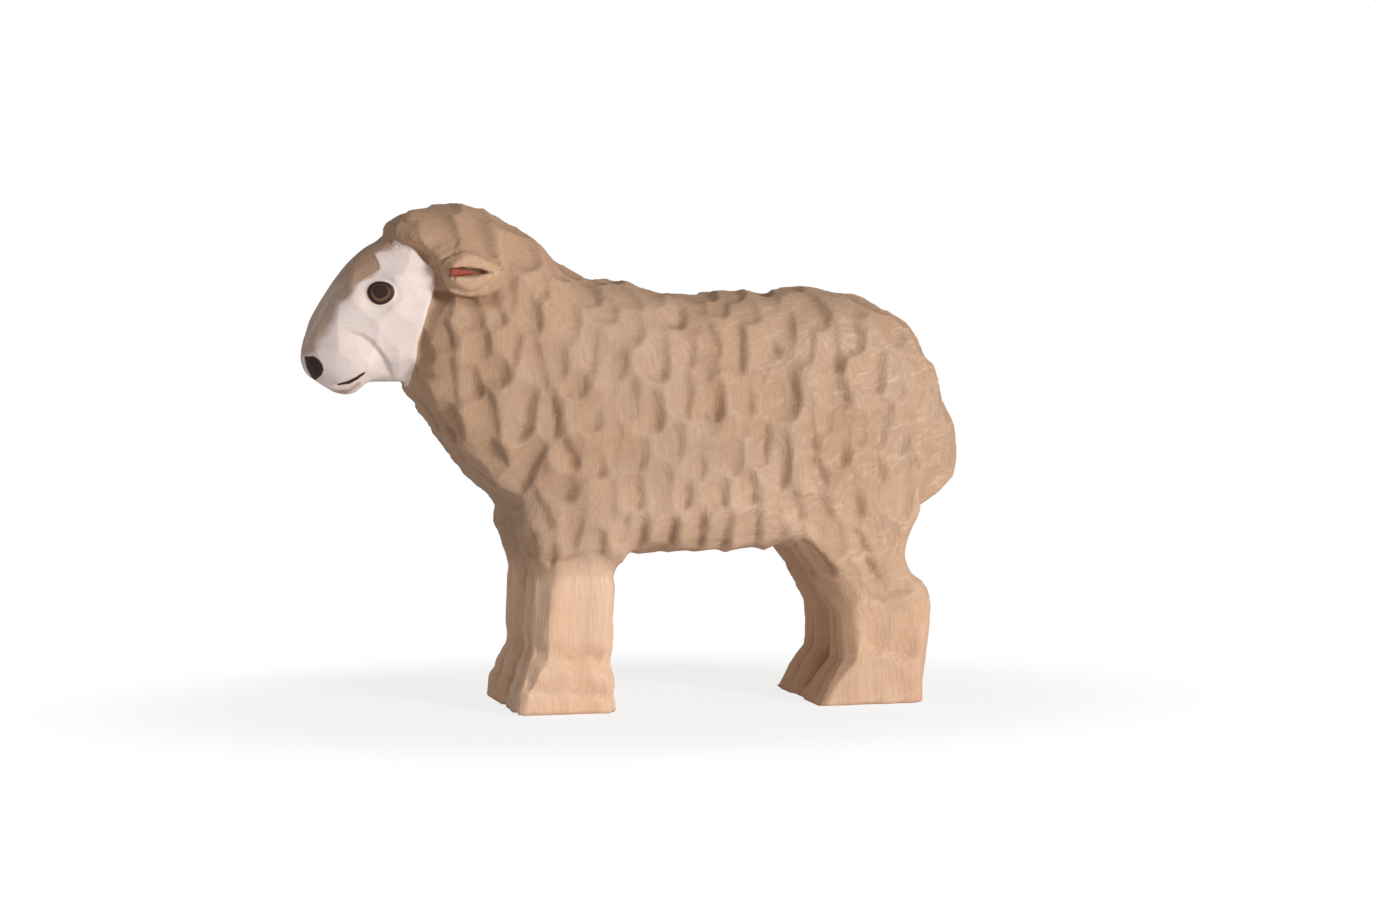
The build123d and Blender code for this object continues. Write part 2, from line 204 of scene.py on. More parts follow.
# Heights between which the fleece fades out on the hind legs.
HIND_CUFF = (7.0, 18.0)
# How far the fleece is filled out before the scoops, which overlap, are cut into it.
FLEECE_LIFT = 0.5
# How much deeper the listed scoops go than the depth written for them, so that they reach through the lift.
PICKED_SINK = FLEECE_LIFT - 0.1


class SheepSizes(PropertyGroup):
    """Lengths of the carving and of the paint."""

    mesh_pitch: FloatProperty(
        name="Mesh pitch", description="Edge length of the carved surface",
        default=0.485 * MM, min=0.3 * MM, unit="LENGTH", precision=5,
    )
    gouge_width: FloatProperty(
        name="Gouge width", description="Usual width of one scoop in the fleece",
        default=5.4 * MM, unit="LENGTH", precision=5,
    )
    gouge_length: FloatProperty(
        name="Gouge length", description="Usual length of one scoop in the fleece",
        default=9.4 * MM, unit="LENGTH", precision=5,
    )
    gouge_depth: FloatProperty(
        name="Gouge depth", description="Usual depth of one scoop in the fleece",
        default=1.15 * MM, unit="LENGTH", precision=5,
    )
    knife_width: FloatProperty(
        name="Knife cut width", description="Usual width of a flat knife cut on the legs and face",
        default=5.6 * MM, unit="LENGTH", precision=5,
    )
    knife_depth: FloatProperty(
        name="Knife cut depth", description="Usual depth of a flat knife cut on the legs and face",
        default=0.32 * MM, unit="LENGTH", precision=5,
    )
    coat: FloatProperty(
        name="Coat", description="Thickness of one coat of paint",
        default=0.05 * MM, unit="LENGTH", precision=5,
    )
    eye_rim: FloatProperty(
        name="Eye rim", description="Diameter of the dark rim of the eye",
        default=3.85 * MM, unit="LENGTH", precision=5,
    )
    eye_iris: FloatProperty(
        name="Eye iris", description="Diameter of the brown ring of the eye",
        default=2.9 * MM, unit="LENGTH", precision=5,
    )
    eye_pupil: FloatProperty(
        name="Eye pupil", description="Diameter of the dark pupil",
        default=2.3 * MM, unit="LENGTH", precision=5,
    )
    mouth_line: FloatProperty(
        name="Mouth line", description="Width of the dark line of the mouth",
        default=0.55 * MM, unit="LENGTH", precision=5,
    )
    ring_spacing: FloatProperty(
        name="Growth rings", description="Distance between two growth rings of the wood",
        default=0.36 * MM, unit="LENGTH", precision=5,
    )
    seed: IntProperty(name="Seed", description="Seed of the scoop layout", default=23)


class SheepColours(PropertyGroup):
    """Colours of the wood, the paint and the floor, with the painted shade of the cuts and the painted
    highlight of the ridges.
    """

    wood_light: FloatVectorProperty(
        name="Wood, light", description="Early wood between the growth rings",
        subtype="COLOR", default=(0.880, 0.615, 0.450), min=0, max=1,
    )
    wood_dark: FloatVectorProperty(
        name="Wood, dark", description="Late wood of the growth rings and the fibres",
        subtype="COLOR", default=(0.640, 0.410, 0.280), min=0, max=1,
    )
    wood_warm: FloatVectorProperty(
        name="Wood, warm", description="Warmer patches of the wood",
        subtype="COLOR", default=(0.830, 0.520, 0.330), min=0, max=1,
    )
    fleece_tint: FloatVectorProperty(
        name="Fleece tint", description="Tint of the gouged fleece beside the plain legs",
        subtype="COLOR", default=(0.625, 0.603, 0.575), min=0, max=1,
    )
    # Painted shade at the bottom of the cuts, the folds and the leg grooves; the same colour marks the
    # wood's pores.
    pores_and_crease_shade: FloatVectorProperty(
        name="Wood, grooves", description="Wood at the bottom of the deep cuts",
        subtype="COLOR", default=(0.240, 0.125, 0.070), min=0, max=1,
    )
    # Painted highlight along the ridges between scoops; the same colour gives the pale flecks of the wood's
    # figure.
    flecks_and_ridge_highlight: FloatVectorProperty(
        name="Wood, edges", description="Rubbed edges between two scoops",
        subtype="COLOR", default=(0.760, 0.560, 0.410), min=0, max=1,
    )
    white_paint: FloatVectorProperty(
        name="White paint", description="Paint of the cheeks and the muzzle",
        subtype="COLOR", default=(0.890, 0.770, 0.740), min=0, max=1,
    )
    worn_paint: FloatVectorProperty(
        name="Worn paint", description="Wood that shows through the thin edge of the white paint",
        subtype="COLOR", default=(0.540, 0.390, 0.300), min=0, max=1,
    )
    dark_paint: FloatVectorProperty(
        name="Dark paint", description="Paint of the nose, mouth, eye rim and pupil",
        subtype="COLOR", default=(0.040, 0.020, 0.014), min=0, max=1,
    )
    tan_paint: FloatVectorProperty(
        name="Tan paint", description="Paint of the ring in the eye",
        subtype="COLOR", default=(0.200, 0.100, 0.045), min=0, max=1,
    )
    red_paint: FloatVectorProperty(
        name="Red paint", description="Paint in the slit of the ear",
        subtype="COLOR", default=(0.370, 0.075, 0.038), min=0, max=1,
    )
    floor: FloatVectorProperty(
        name="Floor", description="Floor and backdrop",
        subtype="COLOR", default=(0.930, 0.930, 0.930), min=0, max=1,
    )


def in_mm(length):
    """A length property in millimetres."""
    return length / MM


def ramp(values, low, high):
    """0 below low, 1 above high and a smooth step between."""
    t = np.clip((values - low) / (high - low), 0.0, 1.0)
    return t * t * (3.0 - 2.0 * t)


def unit(vectors):
    """Vectors at length one."""
    return vectors / np.maximum(np.linalg.norm(vectors, axis=-1, keepdims=True), 1e-9)


def line_distance(points, line):
    """Distance in side view to a line of (x, z) places, the share along it, and the side (+ is left)."""
    line = np.asarray(line, dtype=float)
    flat = points[:, [0, 2]]
    runs = np.linalg.norm(np.diff(line, axis=0), axis=1)
    total = runs.sum()
    best = np.full(len(flat), 1e9)
    share = np.zeros(len(flat))
    side = np.ones(len(flat))
    start = 0.0
    for a, b, run in zip(line[:-1], line[1:], runs):
        along = (b - a) / run
        offset = flat - a
        t = np.clip(offset @ along, 0.0, run)
        gap = np.linalg.norm(offset - t[:, None] * along, axis=1)
        nearer = gap < best
        best[nearer] = gap[nearer]
        share[nearer] = (start + t[nearer]) / total
        turn = along[0] * offset[:, 1] - along[1] * offset[:, 0]
        side[nearer] = np.sign(turn[nearer])
        start += run
    return best, share, side


def outline_distance(points, outline):
    """Distance in side view to a closed outline, less than zero inside it."""
    closed = np.asarray(list(outline) + [outline[0]], dtype=float)
    gap = line_distance(points, closed)[0]
    x, z = points[:, 0], points[:, 2]
    inside = np.zeros(len(points), dtype=bool)
    for (ax, az), (bx, bz) in zip(closed[:-1], closed[1:]):
        crosses = (az > z) != (bz > z)
        rise = bz - az if bz != az else 1e-9
        inside ^= crosses & (x < ax + (z - az) * (bx - ax) / rise)
    return np.where(inside, -gap, gap)


def hood_x(heights):
    """Where the edge of the fleece hood stands at these heights."""
    edge = np.asarray(HOOD_EDGE)[::-1]
    return np.interp(heights, edge[:, 1], edge[:, 0])


def face_weight(points):
    """1 on the face, 0 behind the edge of the hood."""
    return 1.0 - ramp(points[:, 0] - hood_x(points[:, 2]), *HOOD_STEP)


def above_cuff(points):
    """How far a place is above the arch where the fleece ends on the front legs."""
    arch = np.asarray(FRONT_CUFF)
    return points[:, 2] - np.interp(points[:, 0], arch[:, 0], arch[:, 1])


def leg_weight(points):
    """1 on the plain legs below the fleece, 0 above, with a slow change on the hind legs."""
    front = 1.0 - ramp(above_cuff(points), -CUFF_STEP, CUFF_STEP)
    return np.where(points[:, 0] < BETWEEN_LEGS, front, 1.0 - ramp(points[:, 2], *HIND_CUFF))


def pale_wood_and_belly_light(points):
    """1 where the wood is pale: the front legs below their cuff, less so the hind legs; the lower belly is
    painted lighter, standing in for light from the floor.
    """
    x, _, z = points.T
    hind = HIND_PALE_SHARE * (1.0 - ramp(z, 12.0, 26.0))
    # Painted light: the lower belly is lighter in colour, as if lit from the floor.
    belly = BELLY_BOUNCE_LIGHT_SHARE * (1.0 - ramp(z, 29.0, 38.0)) * ramp(x, -12.0, -2.0)
    legs = np.where(x < BETWEEN_LEGS, 1.0 - ramp(above_cuff(points), -4.0, 0.8), hind)
    return np.maximum(legs, belly)


def ear_weight(points):
    """1 on the ears, 0 on the fleece round them."""
    return 1.0 - ramp(outline_distance(points, EAR_ALMOND), -0.2, 0.7)


def stroke_direction(points, normals):
    """The way the gouge was pushed at each place, along the surface."""
    down = np.zeros_like(points)
    x, y, z = points.T
    down[:, 2] = -1.0
    down[:, 1] = SIDE_FALL * np.sign(y)
    neck = ramp(-x, 8.0, 20.0) * ramp(z, 36.0, 50.0)
    down[:, 0] += NECK_LEAN * neck
    rump = ramp(x, 22.0, 40.0)
    down[:, 0] += rump * np.clip((z - 44.0) / 18.0, -0.8, 1.0)
    haunch = ramp(x, 18.0, 26.0) * (1.0 - ramp(z, 30.0, 38.0))
    down[:, 0] += HAUNCH_LEAN * haunch
    flat = down - normals * np.sum(down * normals, axis=1, keepdims=True)
    return unit(flat)


def fleece_scale(points):
    """Size of the scoops over the sheep: small on the front of the neck, large on the hood."""
    x, _, z = points.T
    head = ramp(-x, 14.0, 24.0)
    hood = head * ramp(z, 60.0, 64.0)
    back = ramp(z, 58.0, 64.0) * (1.0 - head)
    return 1.0 - HEAD_SMALLER * head + HOOD_LARGER * hood - BACK_SMALLER * back


class Scoops:
    """A set of overlapping tool cuts on a surface, each with a steep wall towards the tail."""

    def __init__(self, end_share, steep):
        self.end_share = end_share
        self.steep = steep
        self.centres, self.normals, self.strokes, self.across = [], [], [], []
        self.half_widths, self.half_lengths, self.depths = [], [], []

    def add(self, centre, normal, stroke, half_width, half_length, depth):
        """Adds one scoop."""
        across = np.cross(normal, stroke)
        self.centres.append(centre)
        self.normals.append(normal)
        self.strokes.append(stroke)
        self.across.append(across if across[0] >= 0.0 else -across)
        self.half_widths.append(half_width)
        self.half_lengths.append(half_length)
        self.depths.append(depth)

    def clear_of(self, place, packing):
        """True if a place is far enough from the scoops that are there."""
        if not self.centres:
            return True
        offset = place - np.array(self.centres)
        widths = np.array(self.half_widths)
        u = np.sum(offset * np.array(self.across), axis=1) / widths
        v = np.sum(offset * np.array(self.strokes), axis=1) / np.array(self.half_lengths)
        n = np.sum(offset * np.array(self.normals), axis=1) / widths
        return np.min(u * u + v * v + n * n) >= packing * packing

    def depth_at(self, points, normals):
        """Depth of the deepest cut at each place."""
        deepest = np.zeros(len(points))
        for k, centre in enumerate(self.centres):
            reach = 1.3 * max(self.half_widths[k], self.half_lengths[k])
            offset = points - centre
            near = np.nonzero((np.abs(offset) < reach).all(axis=1))[0]
            near = near[normals[near] @ self.normals[k] > 0.25]
            if not len(near):
                continue
            u = offset[near] @ self.across[k] / self.half_widths[k]
            u = np.where(u > 0.0, u * self.steep, u / self.steep)
            v = offset[near] @ self.strokes[k] / self.half_lengths[k]
            entry = np.clip((v + 1.0) / (1.0 + self.end_share), 0.0, 1.0)
            wall = np.maximum(v - self.end_share, 0.0) / (1.0 - self.end_share)
            cut = self.depths[k] * (entry * (2.0 - entry) - u * u - wall * wall)
            deepest[near] = np.maximum(deepest[near], cut)
        return deepest


def lay_scoops(scoops, surface, allowed, strokes, scale, width, length, depth, packing, rng):
    """Spreads scoops over the allowed places, each about one scoop from the next."""
    points, normals = surface
    for k in rng.permutation(np.nonzero(allowed)[0])[:SCOOP_TRIES]:
        if not scoops.clear_of(points[k], packing):
            continue
        turn = math.radians(rng.normal(0.0, STROKE_SPREAD))
        side = np.cross(normals[k], strokes[k])
        stroke = strokes[k] * math.cos(turn) + side * math.sin(turn)
        half_width = 0.5 * width * scale[k] * rng.uniform(*SIZE_SPREAD)
        half_length = 0.5 * length * scale[k] * rng.uniform(*SIZE_SPREAD)
        cut = depth * rng.uniform(*DEPTH_SPREAD)
        scoops.add(points[k], normals[k], stroke, half_width, half_length, cut)


def place_scoops(scoops, surface, places, sink=0.0):
    """Puts the listed scoops on both sides of the sheep, sunk by a further depth."""
    points, normals = surface
    for x, z, lean, half_width, half_length, depth in places:
        for side in (-1.0, 1.0):
            facing = np.nonzero((normals[:, 1] * side > 0.4) & (points[:, 1] * side > 4.0))[0]
            nearest = facing[np.argmin(np.hypot(points[facing, 0] - x, points[facing, 2] - z))]
            normal = normals[nearest]
            stroke = np.array((lean, 0.0, -1.0))
            stroke = unit(stroke - normal * (stroke @ normal))
            scoops.add(points[nearest], normal, stroke, half_width, half_length, depth + sink)


def fold_depth(points, normals, line, depth, left_reach, right_reach):
    """A cut along a line, with a wall of its own width on each side."""
    gap, share, side = line_distance(points, line)
    reach = np.where(side > 0.0, left_reach, right_reach)
    taper = np.sqrt(np.clip(np.sin(np.pi * np.clip(share, 0.02, 0.98)), 0.0, 1.0))
    faces_out = ramp(np.abs(normals[:, 1]), 0.2, 0.45)
    return depth * taper * faces_out * np.clip(1.0 - gap / reach, 0.0, 1.0)


def eye_gap(points, lift=0.0):
    """Distance from the middle of the eye, counted so that the flat eye is a circle."""
    return np.hypot(points[:, 0] - EYE_CENTRE[0], (points[:, 2] - EYE_CENTRE[1] - lift) * EYE_FLATNESS)


def eye_relief(points):
    """The eyeball stands out of a shallow ring round it."""
    gap = eye_gap(points)
    ball = EYEBALL_HEIGHT * np.clip(1.0 - (gap / EYEBALL_RADIUS) ** 2, 0.0, 1.0)
    ring = EYE_RING_DEPTH * np.clip(1.0 - np.abs(gap - EYE_RING_RADIUS) / EYE_RING_REACH, 0.0, 1.0)
    return (ball - ring) * (points[:, 0] < -34.0)


def ear_relief(points):
    """The two lobes of the ear and the slit between them."""
    lobes = EAR_LOBE_HEIGHT * ramp(-outline_distance(points, EAR_ALMOND), 0.0, 1.6)
    slit = EAR_SLIT_DEPTH * ramp(-outline_distance(points, EAR_SLIT), -0.15, 0.25)
    return lobes - slit


def leg_grooves(points, normals):
    """The parting between the two legs of a pair, and a shallower groove down the front of each leg."""
    _, y, z = points.T
    ends = ramp(np.abs(normals[:, 0]), 0.45, 0.75) * ramp(z, 0.6, 3.0)
    bow = 0.9 * np.sin(z * 0.42) + 0.4 * np.sin(z * 1.1 + 0.6)
    parting = PARTING_DEPTH * np.clip(1.0 - np.abs(y - bow) / PARTING_REACH, 0.0, 1.0)
    beside = np.abs(np.abs(y) - LEG_GROOVE_PLACE - 0.8 * bow)
    groove = LEG_GROOVE_DEPTH * np.clip(1.0 - beside / LEG_GROOVE_REACH, 0.0, 1.0)
    return ends * (parting + groove)


def hoof_relief(points, normals):
    """The ankle and hoof steps of the front legs, the parting between the legs and the tuck at the cuff."""
    x, y, z = points.T
    wave = 0.30 * np.sin(x * 0.55) + 0.2 * np.sin(x * 1.3 + y)
    front = 1.0 - ramp(x, 4.0, 12.0)
    behind_toe = x + 16.0
    over = z - (ANKLE_HEIGHT - ANKLE_SLOPE * behind_toe + wave)
    ankle = ANKLE_STEP * np.where(over > 0.0, 1.0 - ramp(over, 0.0, 2.2), ramp(over, -2.4, 0.0))
    over = z - (CORONET_HEIGHT - CORONET_SLOPE * behind_toe + 0.5 * wave)
    coronet = CORONET_STEP * np.where(over > 0.0, 1.0 - ramp(over, 0.0, 2.0), ramp(over, -1.3, 0.0))
    upright = 1.0 - ramp(np.abs(normals[:, 2]), 0.5, 0.8)
    tuck = CUFF_TUCK * front * ramp(above_cuff(points), -4.5, -0.4) * upright
    outer = 0.4 + 0.6 * ramp(np.abs(normals[:, 1]), 0.3, 0.7)
    return -front * (ankle + coronet) * upright * outer - leg_grooves(points, normals) - tuck


def even_block():
    """The CAD body as a mesh of even triangles that lie on it: places in millimetres, and triangles."""
    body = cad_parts["carved_body"].data.copy()
    blank = bpy.data.objects.new("blank", body)
    bpy.context.scene.collection.objects.link(blank)
    remesh = blank.modifiers.new("even", "REMESH")
    remesh.mode = "VOXEL"
    remesh.voxel_size = bpy.context.scene.sheep_sizes.mesh_pitch
    graph = bpy.context.evaluated_depsgraph_get()
    mesh = bpy.data.meshes.new_from_object(blank.evaluated_get(graph))
    mesh.calc_loop_triangles()
    rough = np.empty(len(mesh.vertices) * 3)
    mesh.vertices.foreach_get("co", rough)
    triangles = np.empty(len(mesh.loop_triangles) * 3, dtype=np.int32)
    mesh.loop_triangles.foreach_get("vertices", triangles)
    corners = [vertex.co for vertex in body.vertices]
    block = BVHTree.FromPolygons(corners, [list(face.vertices) for face in body.polygons])
    points = np.array([block.find_nearest(place)[0] for place in rough.reshape(-1, 3).tolist()])
    bpy.data.objects.remove(blank)
    bpy.data.meshes.remove(body)
    bpy.data.meshes.remove(mesh)
    return points / MM, triangles.reshape(-1, 3)


@lru_cache(maxsize=None)
def blank_surface():
    """The even block with its face, spine, cuffs and chest smoothed and the hood's edge bevelled."""
    points, triangles = even_block()
    face = ramp(hood_x(points[:, 2]) - points[:, 0], 0.9, 2.2) * (points[:, 2] > HEAD_FLOOR)
    points += (evened(points, triangles, rounds=14) - points) * face[:, None]
    spine = (1.0 - ramp(np.abs(points[:, 1]), 4.0, 9.0)) * ramp(points[:, 2], 50.0, 56.0) * (face == 0.0)
    points += (evened(points, triangles, rounds=40) - points) * (SPINE_EVENED_SHARE * spine)[:, None]
    cuff = 1.0 - ramp(np.abs(above_cuff(points)), 1.5, 4.0)
    cuff *= (points[:, 0] < BETWEEN_LEGS) & (points[:, 2] > 16.0)
    chest = (1.0 - ramp(np.abs(points[:, 2] - 31.0), 1.5, 4.0)) * (1.0 - ramp(points[:, 0], -15.0, -12.0))
    points += (evened(points, triangles, rounds=30) - points) * np.maximum(cuff, chest)[:, None]
    points = bevelled(points)
    seam = (1.0 - ramp(line_distance(points, HOOD_EDGE)[0], 0.5, 1.3)) * (points[:, 2] > HEAD_FLOOR)
    points += (evened(points, triangles, rounds=4) - points) * seam[:, None]
    return points, corner_normals(points, triangles), triangles


def bevelled(points):
    """Places with the edge of the hood cut back to the cheek in a slope."""
    behind = hood_gap(points)
    cheek = np.asarray(CHEEK_HALF_WIDTH)
    slope = 1.5 + 1.3 * ramp(points[:, 2], 60.0, 61.5) * (1.0 - ramp(points[:, 2], 66.5, 67.5))
    level = np.interp(points[:, 2], cheek[:, 1], cheek[:, 0]) + slope * np.maximum(behind, 0.0)
    near = ramp(points[:, 2], 47.5, 50.0) * (1.0 - ramp(points[:, 2], 66.5, 68.5))
    near *= (behind > -1.4) & (behind < 4.0)
    over = np.maximum(np.abs(points[:, 1]) - level, 0.0) * near
    moved = points.copy()
    moved[:, 1] -= over * np.sign(points[:, 1])
    return moved


def hood_gap(points):
    """Distance behind the edge of the hood in side view, less than zero in front of it."""
    gap, _, side = line_distance(points, HOOD_EDGE)
    return gap * side


def corner_normals(points, triangles):
    """Normals at the corners of a mesh."""
    a, b, c = (points[triangles[:, k]] for k in range(3))
    facing = np.cross(b - a, c - a)
    ends = triangles.ravel()
    sums = [np.bincount(ends, weights=np.repeat(facing[:, k], 3), minlength=len(points)) for k in range(3)]
    return unit(np.stack(sums, axis=1))


def fine_places(points):
    """Where the surface needs a finer mesh: the ears, the edge of the hood and the bare ridge."""
    ears = (outline_distance(points, EAR_ALMOND) < 1.6) & (np.abs(points[:, 1]) > 6.0)
    hood = (line_distance(points, HOOD_EDGE)[0] < 1.3) & (points[:, 2] > HEAD_FLOOR)
    ridge = (points[:, 0] < hood_x(points[:, 2])) & (paint_edge(points) > -0.8)
    return ears | hood | ridge


def sides_of(triangles):
    """The sides of the triangles as pairs of corners: all first sides, then all second and all third."""
    return np.concatenate([triangles[:, [0, 1]], triangles[:, [1, 2]], triangles[:, [2, 0]]])


def refined(points, normals, triangles, fine):
    """The mesh with its triangles split in four at the fine places and joined up around them."""
    edges, where = np.unique(np.sort(sides_of(triangles), axis=1), axis=0, return_inverse=True)
    split = fine[edges[:, 0]] & fine[edges[:, 1]]
    number = np.full(len(edges), -1)
    number[split] = len(points) + np.arange(split.sum())
    halves = number[where].reshape(3, -1).T
    made = []
    for corners, middles in zip(triangles.tolist(), halves.tolist()):
        cut = [k for k in range(3) if middles[k] >= 0]
        a, b, c = corners
        ab, bc, ca = middles
        if len(cut) == 0:
            made.append((a, b, c))
        elif len(cut) == 3:
            made += [(a, ab, ca), (ab, b, bc), (ca, bc, c), (ab, bc, ca)]
        else:
            turn = cut[0] if len(cut) == 1 else ({0, 1, 2} - set(cut)).pop()
            a, b, c = corners[turn], corners[(turn + 1) % 3], corners[(turn + 2) % 3]
            ab, bc, ca = middles[turn], middles[(turn + 1) % 3], middles[(turn + 2) % 3]
            if len(cut) == 1:
                made += [(a, ab, c), (ab, b, c)]
            else:
                made += [(a, b, bc), (a, bc, ca), (ca, bc, c)]
    middle = 0.5 * (points[edges[split, 0]] + points[edges[split, 1]])
    middle_normals = unit(normals[edges[split, 0]] + normals[edges[split, 1]])
    return np.concatenate([points, middle]), np.concatenate([normals, middle_normals]), np.array(made)


def evened(values, triangles, rounds):
    """Values at the corners of a mesh, each drawn towards its neighbours."""
    ends = sides_of(triangles)
    here, there = np.concatenate([ends, ends[:, ::-1]]).T
    count = np.bincount(here, minlength=len(values)).astype(float)
    flat = values.reshape(len(values), -1)
    for _ in range(rounds):
        sums = [np.bincount(here, weights=column[there], minlength=len(flat)) for column in flat.T]
        flat = 0.5 * flat + 0.5 * np.stack(sums, axis=1) / np.maximum(count, 1.0)[:, None]
    return flat.reshape(values.shape)


@lru_cache(maxsize=None)
def tool_cuts():
    """The scoops of the fleece, the legs and the face."""
    sizes = bpy.context.scene.sheep_sizes
    points, normals, triangles = blank_surface()
    normals = unit(evened(normals, triangles, rounds=6))
    rng = np.random.default_rng(sizes.seed)
    face = face_weight(points)
    legs = leg_weight(points)
    ears = ear_weight(points) * (np.abs(normals[:, 1]) > 0.3)
    fleece = (face < 0.3) & (legs < 0.4) & (ears < 0.3)
    surface = (points, normals)
    even = np.ones(len(points))
    fleece_scoops = Scoops(end_share=0.45, steep=1.6)
    picked = NECK_SCOOPS + HAUNCH_SCOOPS + BELLY_SCOOPS + CUFF_SCOOPS + THIGH_SCOOPS
    place_scoops(fleece_scoops, surface, picked, PICKED_SINK)
    lay_scoops(
        fleece_scoops, surface, fleece, stroke_direction(points, normals), fleece_scale(points),
        in_mm(sizes.gouge_width), in_mm(sizes.gouge_length), in_mm(sizes.gouge_depth), FLEECE_PACKING, rng,
    )
    upright = np.zeros_like(points)
    upright[:, 2] = -1.0
    upright = unit(upright - normals * np.sum(upright * normals, axis=1, keepdims=True))
    leg_cuts = Scoops(end_share=0.7, steep=1.0)
    place_scoops(leg_cuts, surface, SHANK_SCOOPS)
    lay_scoops(
        leg_cuts, surface, (legs > 0.6) & (np.abs(normals[:, 2]) < 0.6), upright, even,
        in_mm(sizes.knife_width), SHANK_CUT_LENGTH, in_mm(sizes.knife_depth), KNIFE_PACKING, rng,
    )
    face_cuts = Scoops(end_share=0.3, steep=1.0)
    lay_scoops(
        face_cuts, surface, face > 0.8, upright, even,
        in_mm(sizes.knife_width), FACE_CUT_LENGTH, in_mm(sizes.knife_depth), KNIFE_PACKING, rng,
    )
    return fleece_scoops, leg_cuts, face_cuts


def worn_depth(points, normals, triangles):
    """How deep the scoops of the block already are at each place, beside the surface round them."""
    level = evened(points, triangles, rounds=45)
    below = np.sum((level - points) * normals, axis=1)
    ends = sides_of(triangles)
    ridge = -below
    for _ in range(7):
        highest = ridge.copy()
        np.maximum.at(highest, ends[:, 0], ridge[ends[:, 1]])
        np.maximum.at(highest, ends[:, 1], ridge[ends[:, 0]])
        ridge = highest
    return below + evened(ridge, triangles, rounds=6)


def head_weight(points):
    """1 on the neck and the hood, where the scoops are finer than those of the block."""
    x, _, z = points.T
    clear = ramp(hood_gap(points), 2.5, 4.0) * ramp(outline_distance(points, EAR_ALMOND), 0.6, 1.8)
    return ramp(-x, 9.0, 15.0) * ramp(z, 36.0, 42.0) * clear


def carve(points, normals, worn=0.0):
    """Carved places for blank places, with the depth of the folds, where worn is cut away already."""
    fleece_scoops, leg_cuts, face_cuts = tool_cuts()
    face = face_weight(points)
    legs = leg_weight(points)
    ears = ear_weight(points) * ramp(np.abs(normals[:, 1]), 0.2, 0.4) * ramp(hood_gap(points), 0.5, 1.1)
    fleece = (1.0 - face) * (1.0 - legs) * (1.0 - ears)
    lift = FLEECE_LIFT * (1.0 - ramp(points[:, 2], 69.0, 73.5))
    height = fleece * (lift - np.maximum(fleece_scoops.depth_at(points, normals) - worn, 0.0))
    height -= legs * leg_cuts.depth_at(points, normals)
    height -= face * face_cuts.depth_at(points, normals)

    def fold(line, depth, left_reach, right_reach):
        return fold_depth(points, normals, line, depth, left_reach, right_reach)

    folds = face * fold(SMILE_FOLD, depth=0.55, left_reach=0.55, right_reach=2.2)
    folds += face * fold(LIP_CUT, depth=0.40, left_reach=0.45, right_reach=0.6)
    folds += (1.0 - face) * fold(HOOD_EDGE, depth=0.35, left_reach=1.2, right_reach=0.9)
    folds += fold(HOCK_CUT, depth=0.55, left_reach=3.0, right_reach=1.0)
    folds += fold(FETLOCK_CUT, depth=0.40, left_reach=2.4, right_reach=1.0)
    folds += fold(FRONT_CUFF[2:7], depth=0.30, left_reach=0.7, right_reach=2.4)
    folds += (1.0 - ears) * fold(UNDER_EAR, depth=1.2, left_reach=0.4, right_reach=2.0)
    height -= folds
    height += face * eye_relief(points)
    height += ears * ear_relief(points)
    height += legs * hoof_relief(points, normals)
    moved = points + normals * height[:, None]
    moved = np.clip(moved, np.array(cad_low) / MM, np.array(cad_high) / MM)
    return moved, folds


def mesh_from(name, points, triangles, **values):
    """A mesh from millimetre places and triangles, with named values at its corners."""
    mesh = bpy.data.meshes.new(name)
    mesh.vertices.add(len(points))
    mesh.vertices.foreach_set("co", (points * MM).ravel())
    mesh.loops.add(len(triangles) * 3)
    mesh.loops.foreach_set("vertex_index", np.asarray(triangles, dtype=np.int32).ravel())
    mesh.polygons.add(len(triangles))
    mesh.polygons.foreach_set("loop_start", np.arange(0, len(triangles) * 3, 3, dtype=np.int32))
    mesh.update(calc_edges=True)
    mesh.validate()
    for key, value in values.items():
        layer = mesh.attributes.new(key, "FLOAT", "POINT")
        layer.data.foreach_set("value", value)
    mesh.polygons.foreach_set("use_smooth", np.ones(len(mesh.polygons), dtype=bool))
    return mesh


def place_piece(name, mesh, node, material):
    """Links a piece, gives it its paint and ties it to the frame."""
    piece = bpy.data.objects.new(name, mesh)
    bpy.context.scene.collection.objects.link(piece)
    mesh.materials.append(material)
    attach(piece, "root")
    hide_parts(node)
    return piece


def compact(points, normals, triangles):
    """The mesh without the corners that no triangle uses."""
    used, renamed = np.unique(triangles, return_inverse=True)
    return points[used], normals[used], renamed.reshape(-1, 3)


def clipped(points, normals, triangles, field):
    """The part of the mesh where the field is below zero, cut cleanly along its zero line."""
    new_points, new_normals, new_field = list(points), list(normals), list(field)
    crossing = {}

    def cross(i, j):
        key = (min(i, j), max(i, j))
        if key not in crossing:
            t = field[key[0]] / (field[key[0]] - field[key[1]])
            new_points.append(points[key[0]] * (1 - t) + points[key[1]] * t)
            new_normals.append(normals[key[0]] * (1 - t) + normals[key[1]] * t)
            new_field.append(0.0)
            crossing[key] = len(new_points) - 1
        return crossing[key]

    kept = []
    inside = field < 0.0
    for triangle in triangles:
        state = inside[triangle]
        count = int(state.sum())
        if count == 3:
            kept.append(tuple(triangle))
        elif count:
            turn = int(np.argmax(state)) if count == 1 else int(np.argmin(state))
            a, b, c = triangle[turn], triangle[(turn + 1) % 3], triangle[(turn + 2) % 3]
            ab, ac = cross(a, b), cross(a, c)
            if count == 1:
                kept.append((a, ab, ac))
            else:
                kept.append((ab, b, c))
                kept.append((ab, c, ac))
    kept = np.array(kept, dtype=np.int64)
    used, renamed = np.unique(kept, return_inverse=True)
    return (
        np.array(new_points)[used], unit(np.array(new_normals)[used]),
        renamed.reshape(-1, 3), np.array(new_field)[used],
    )


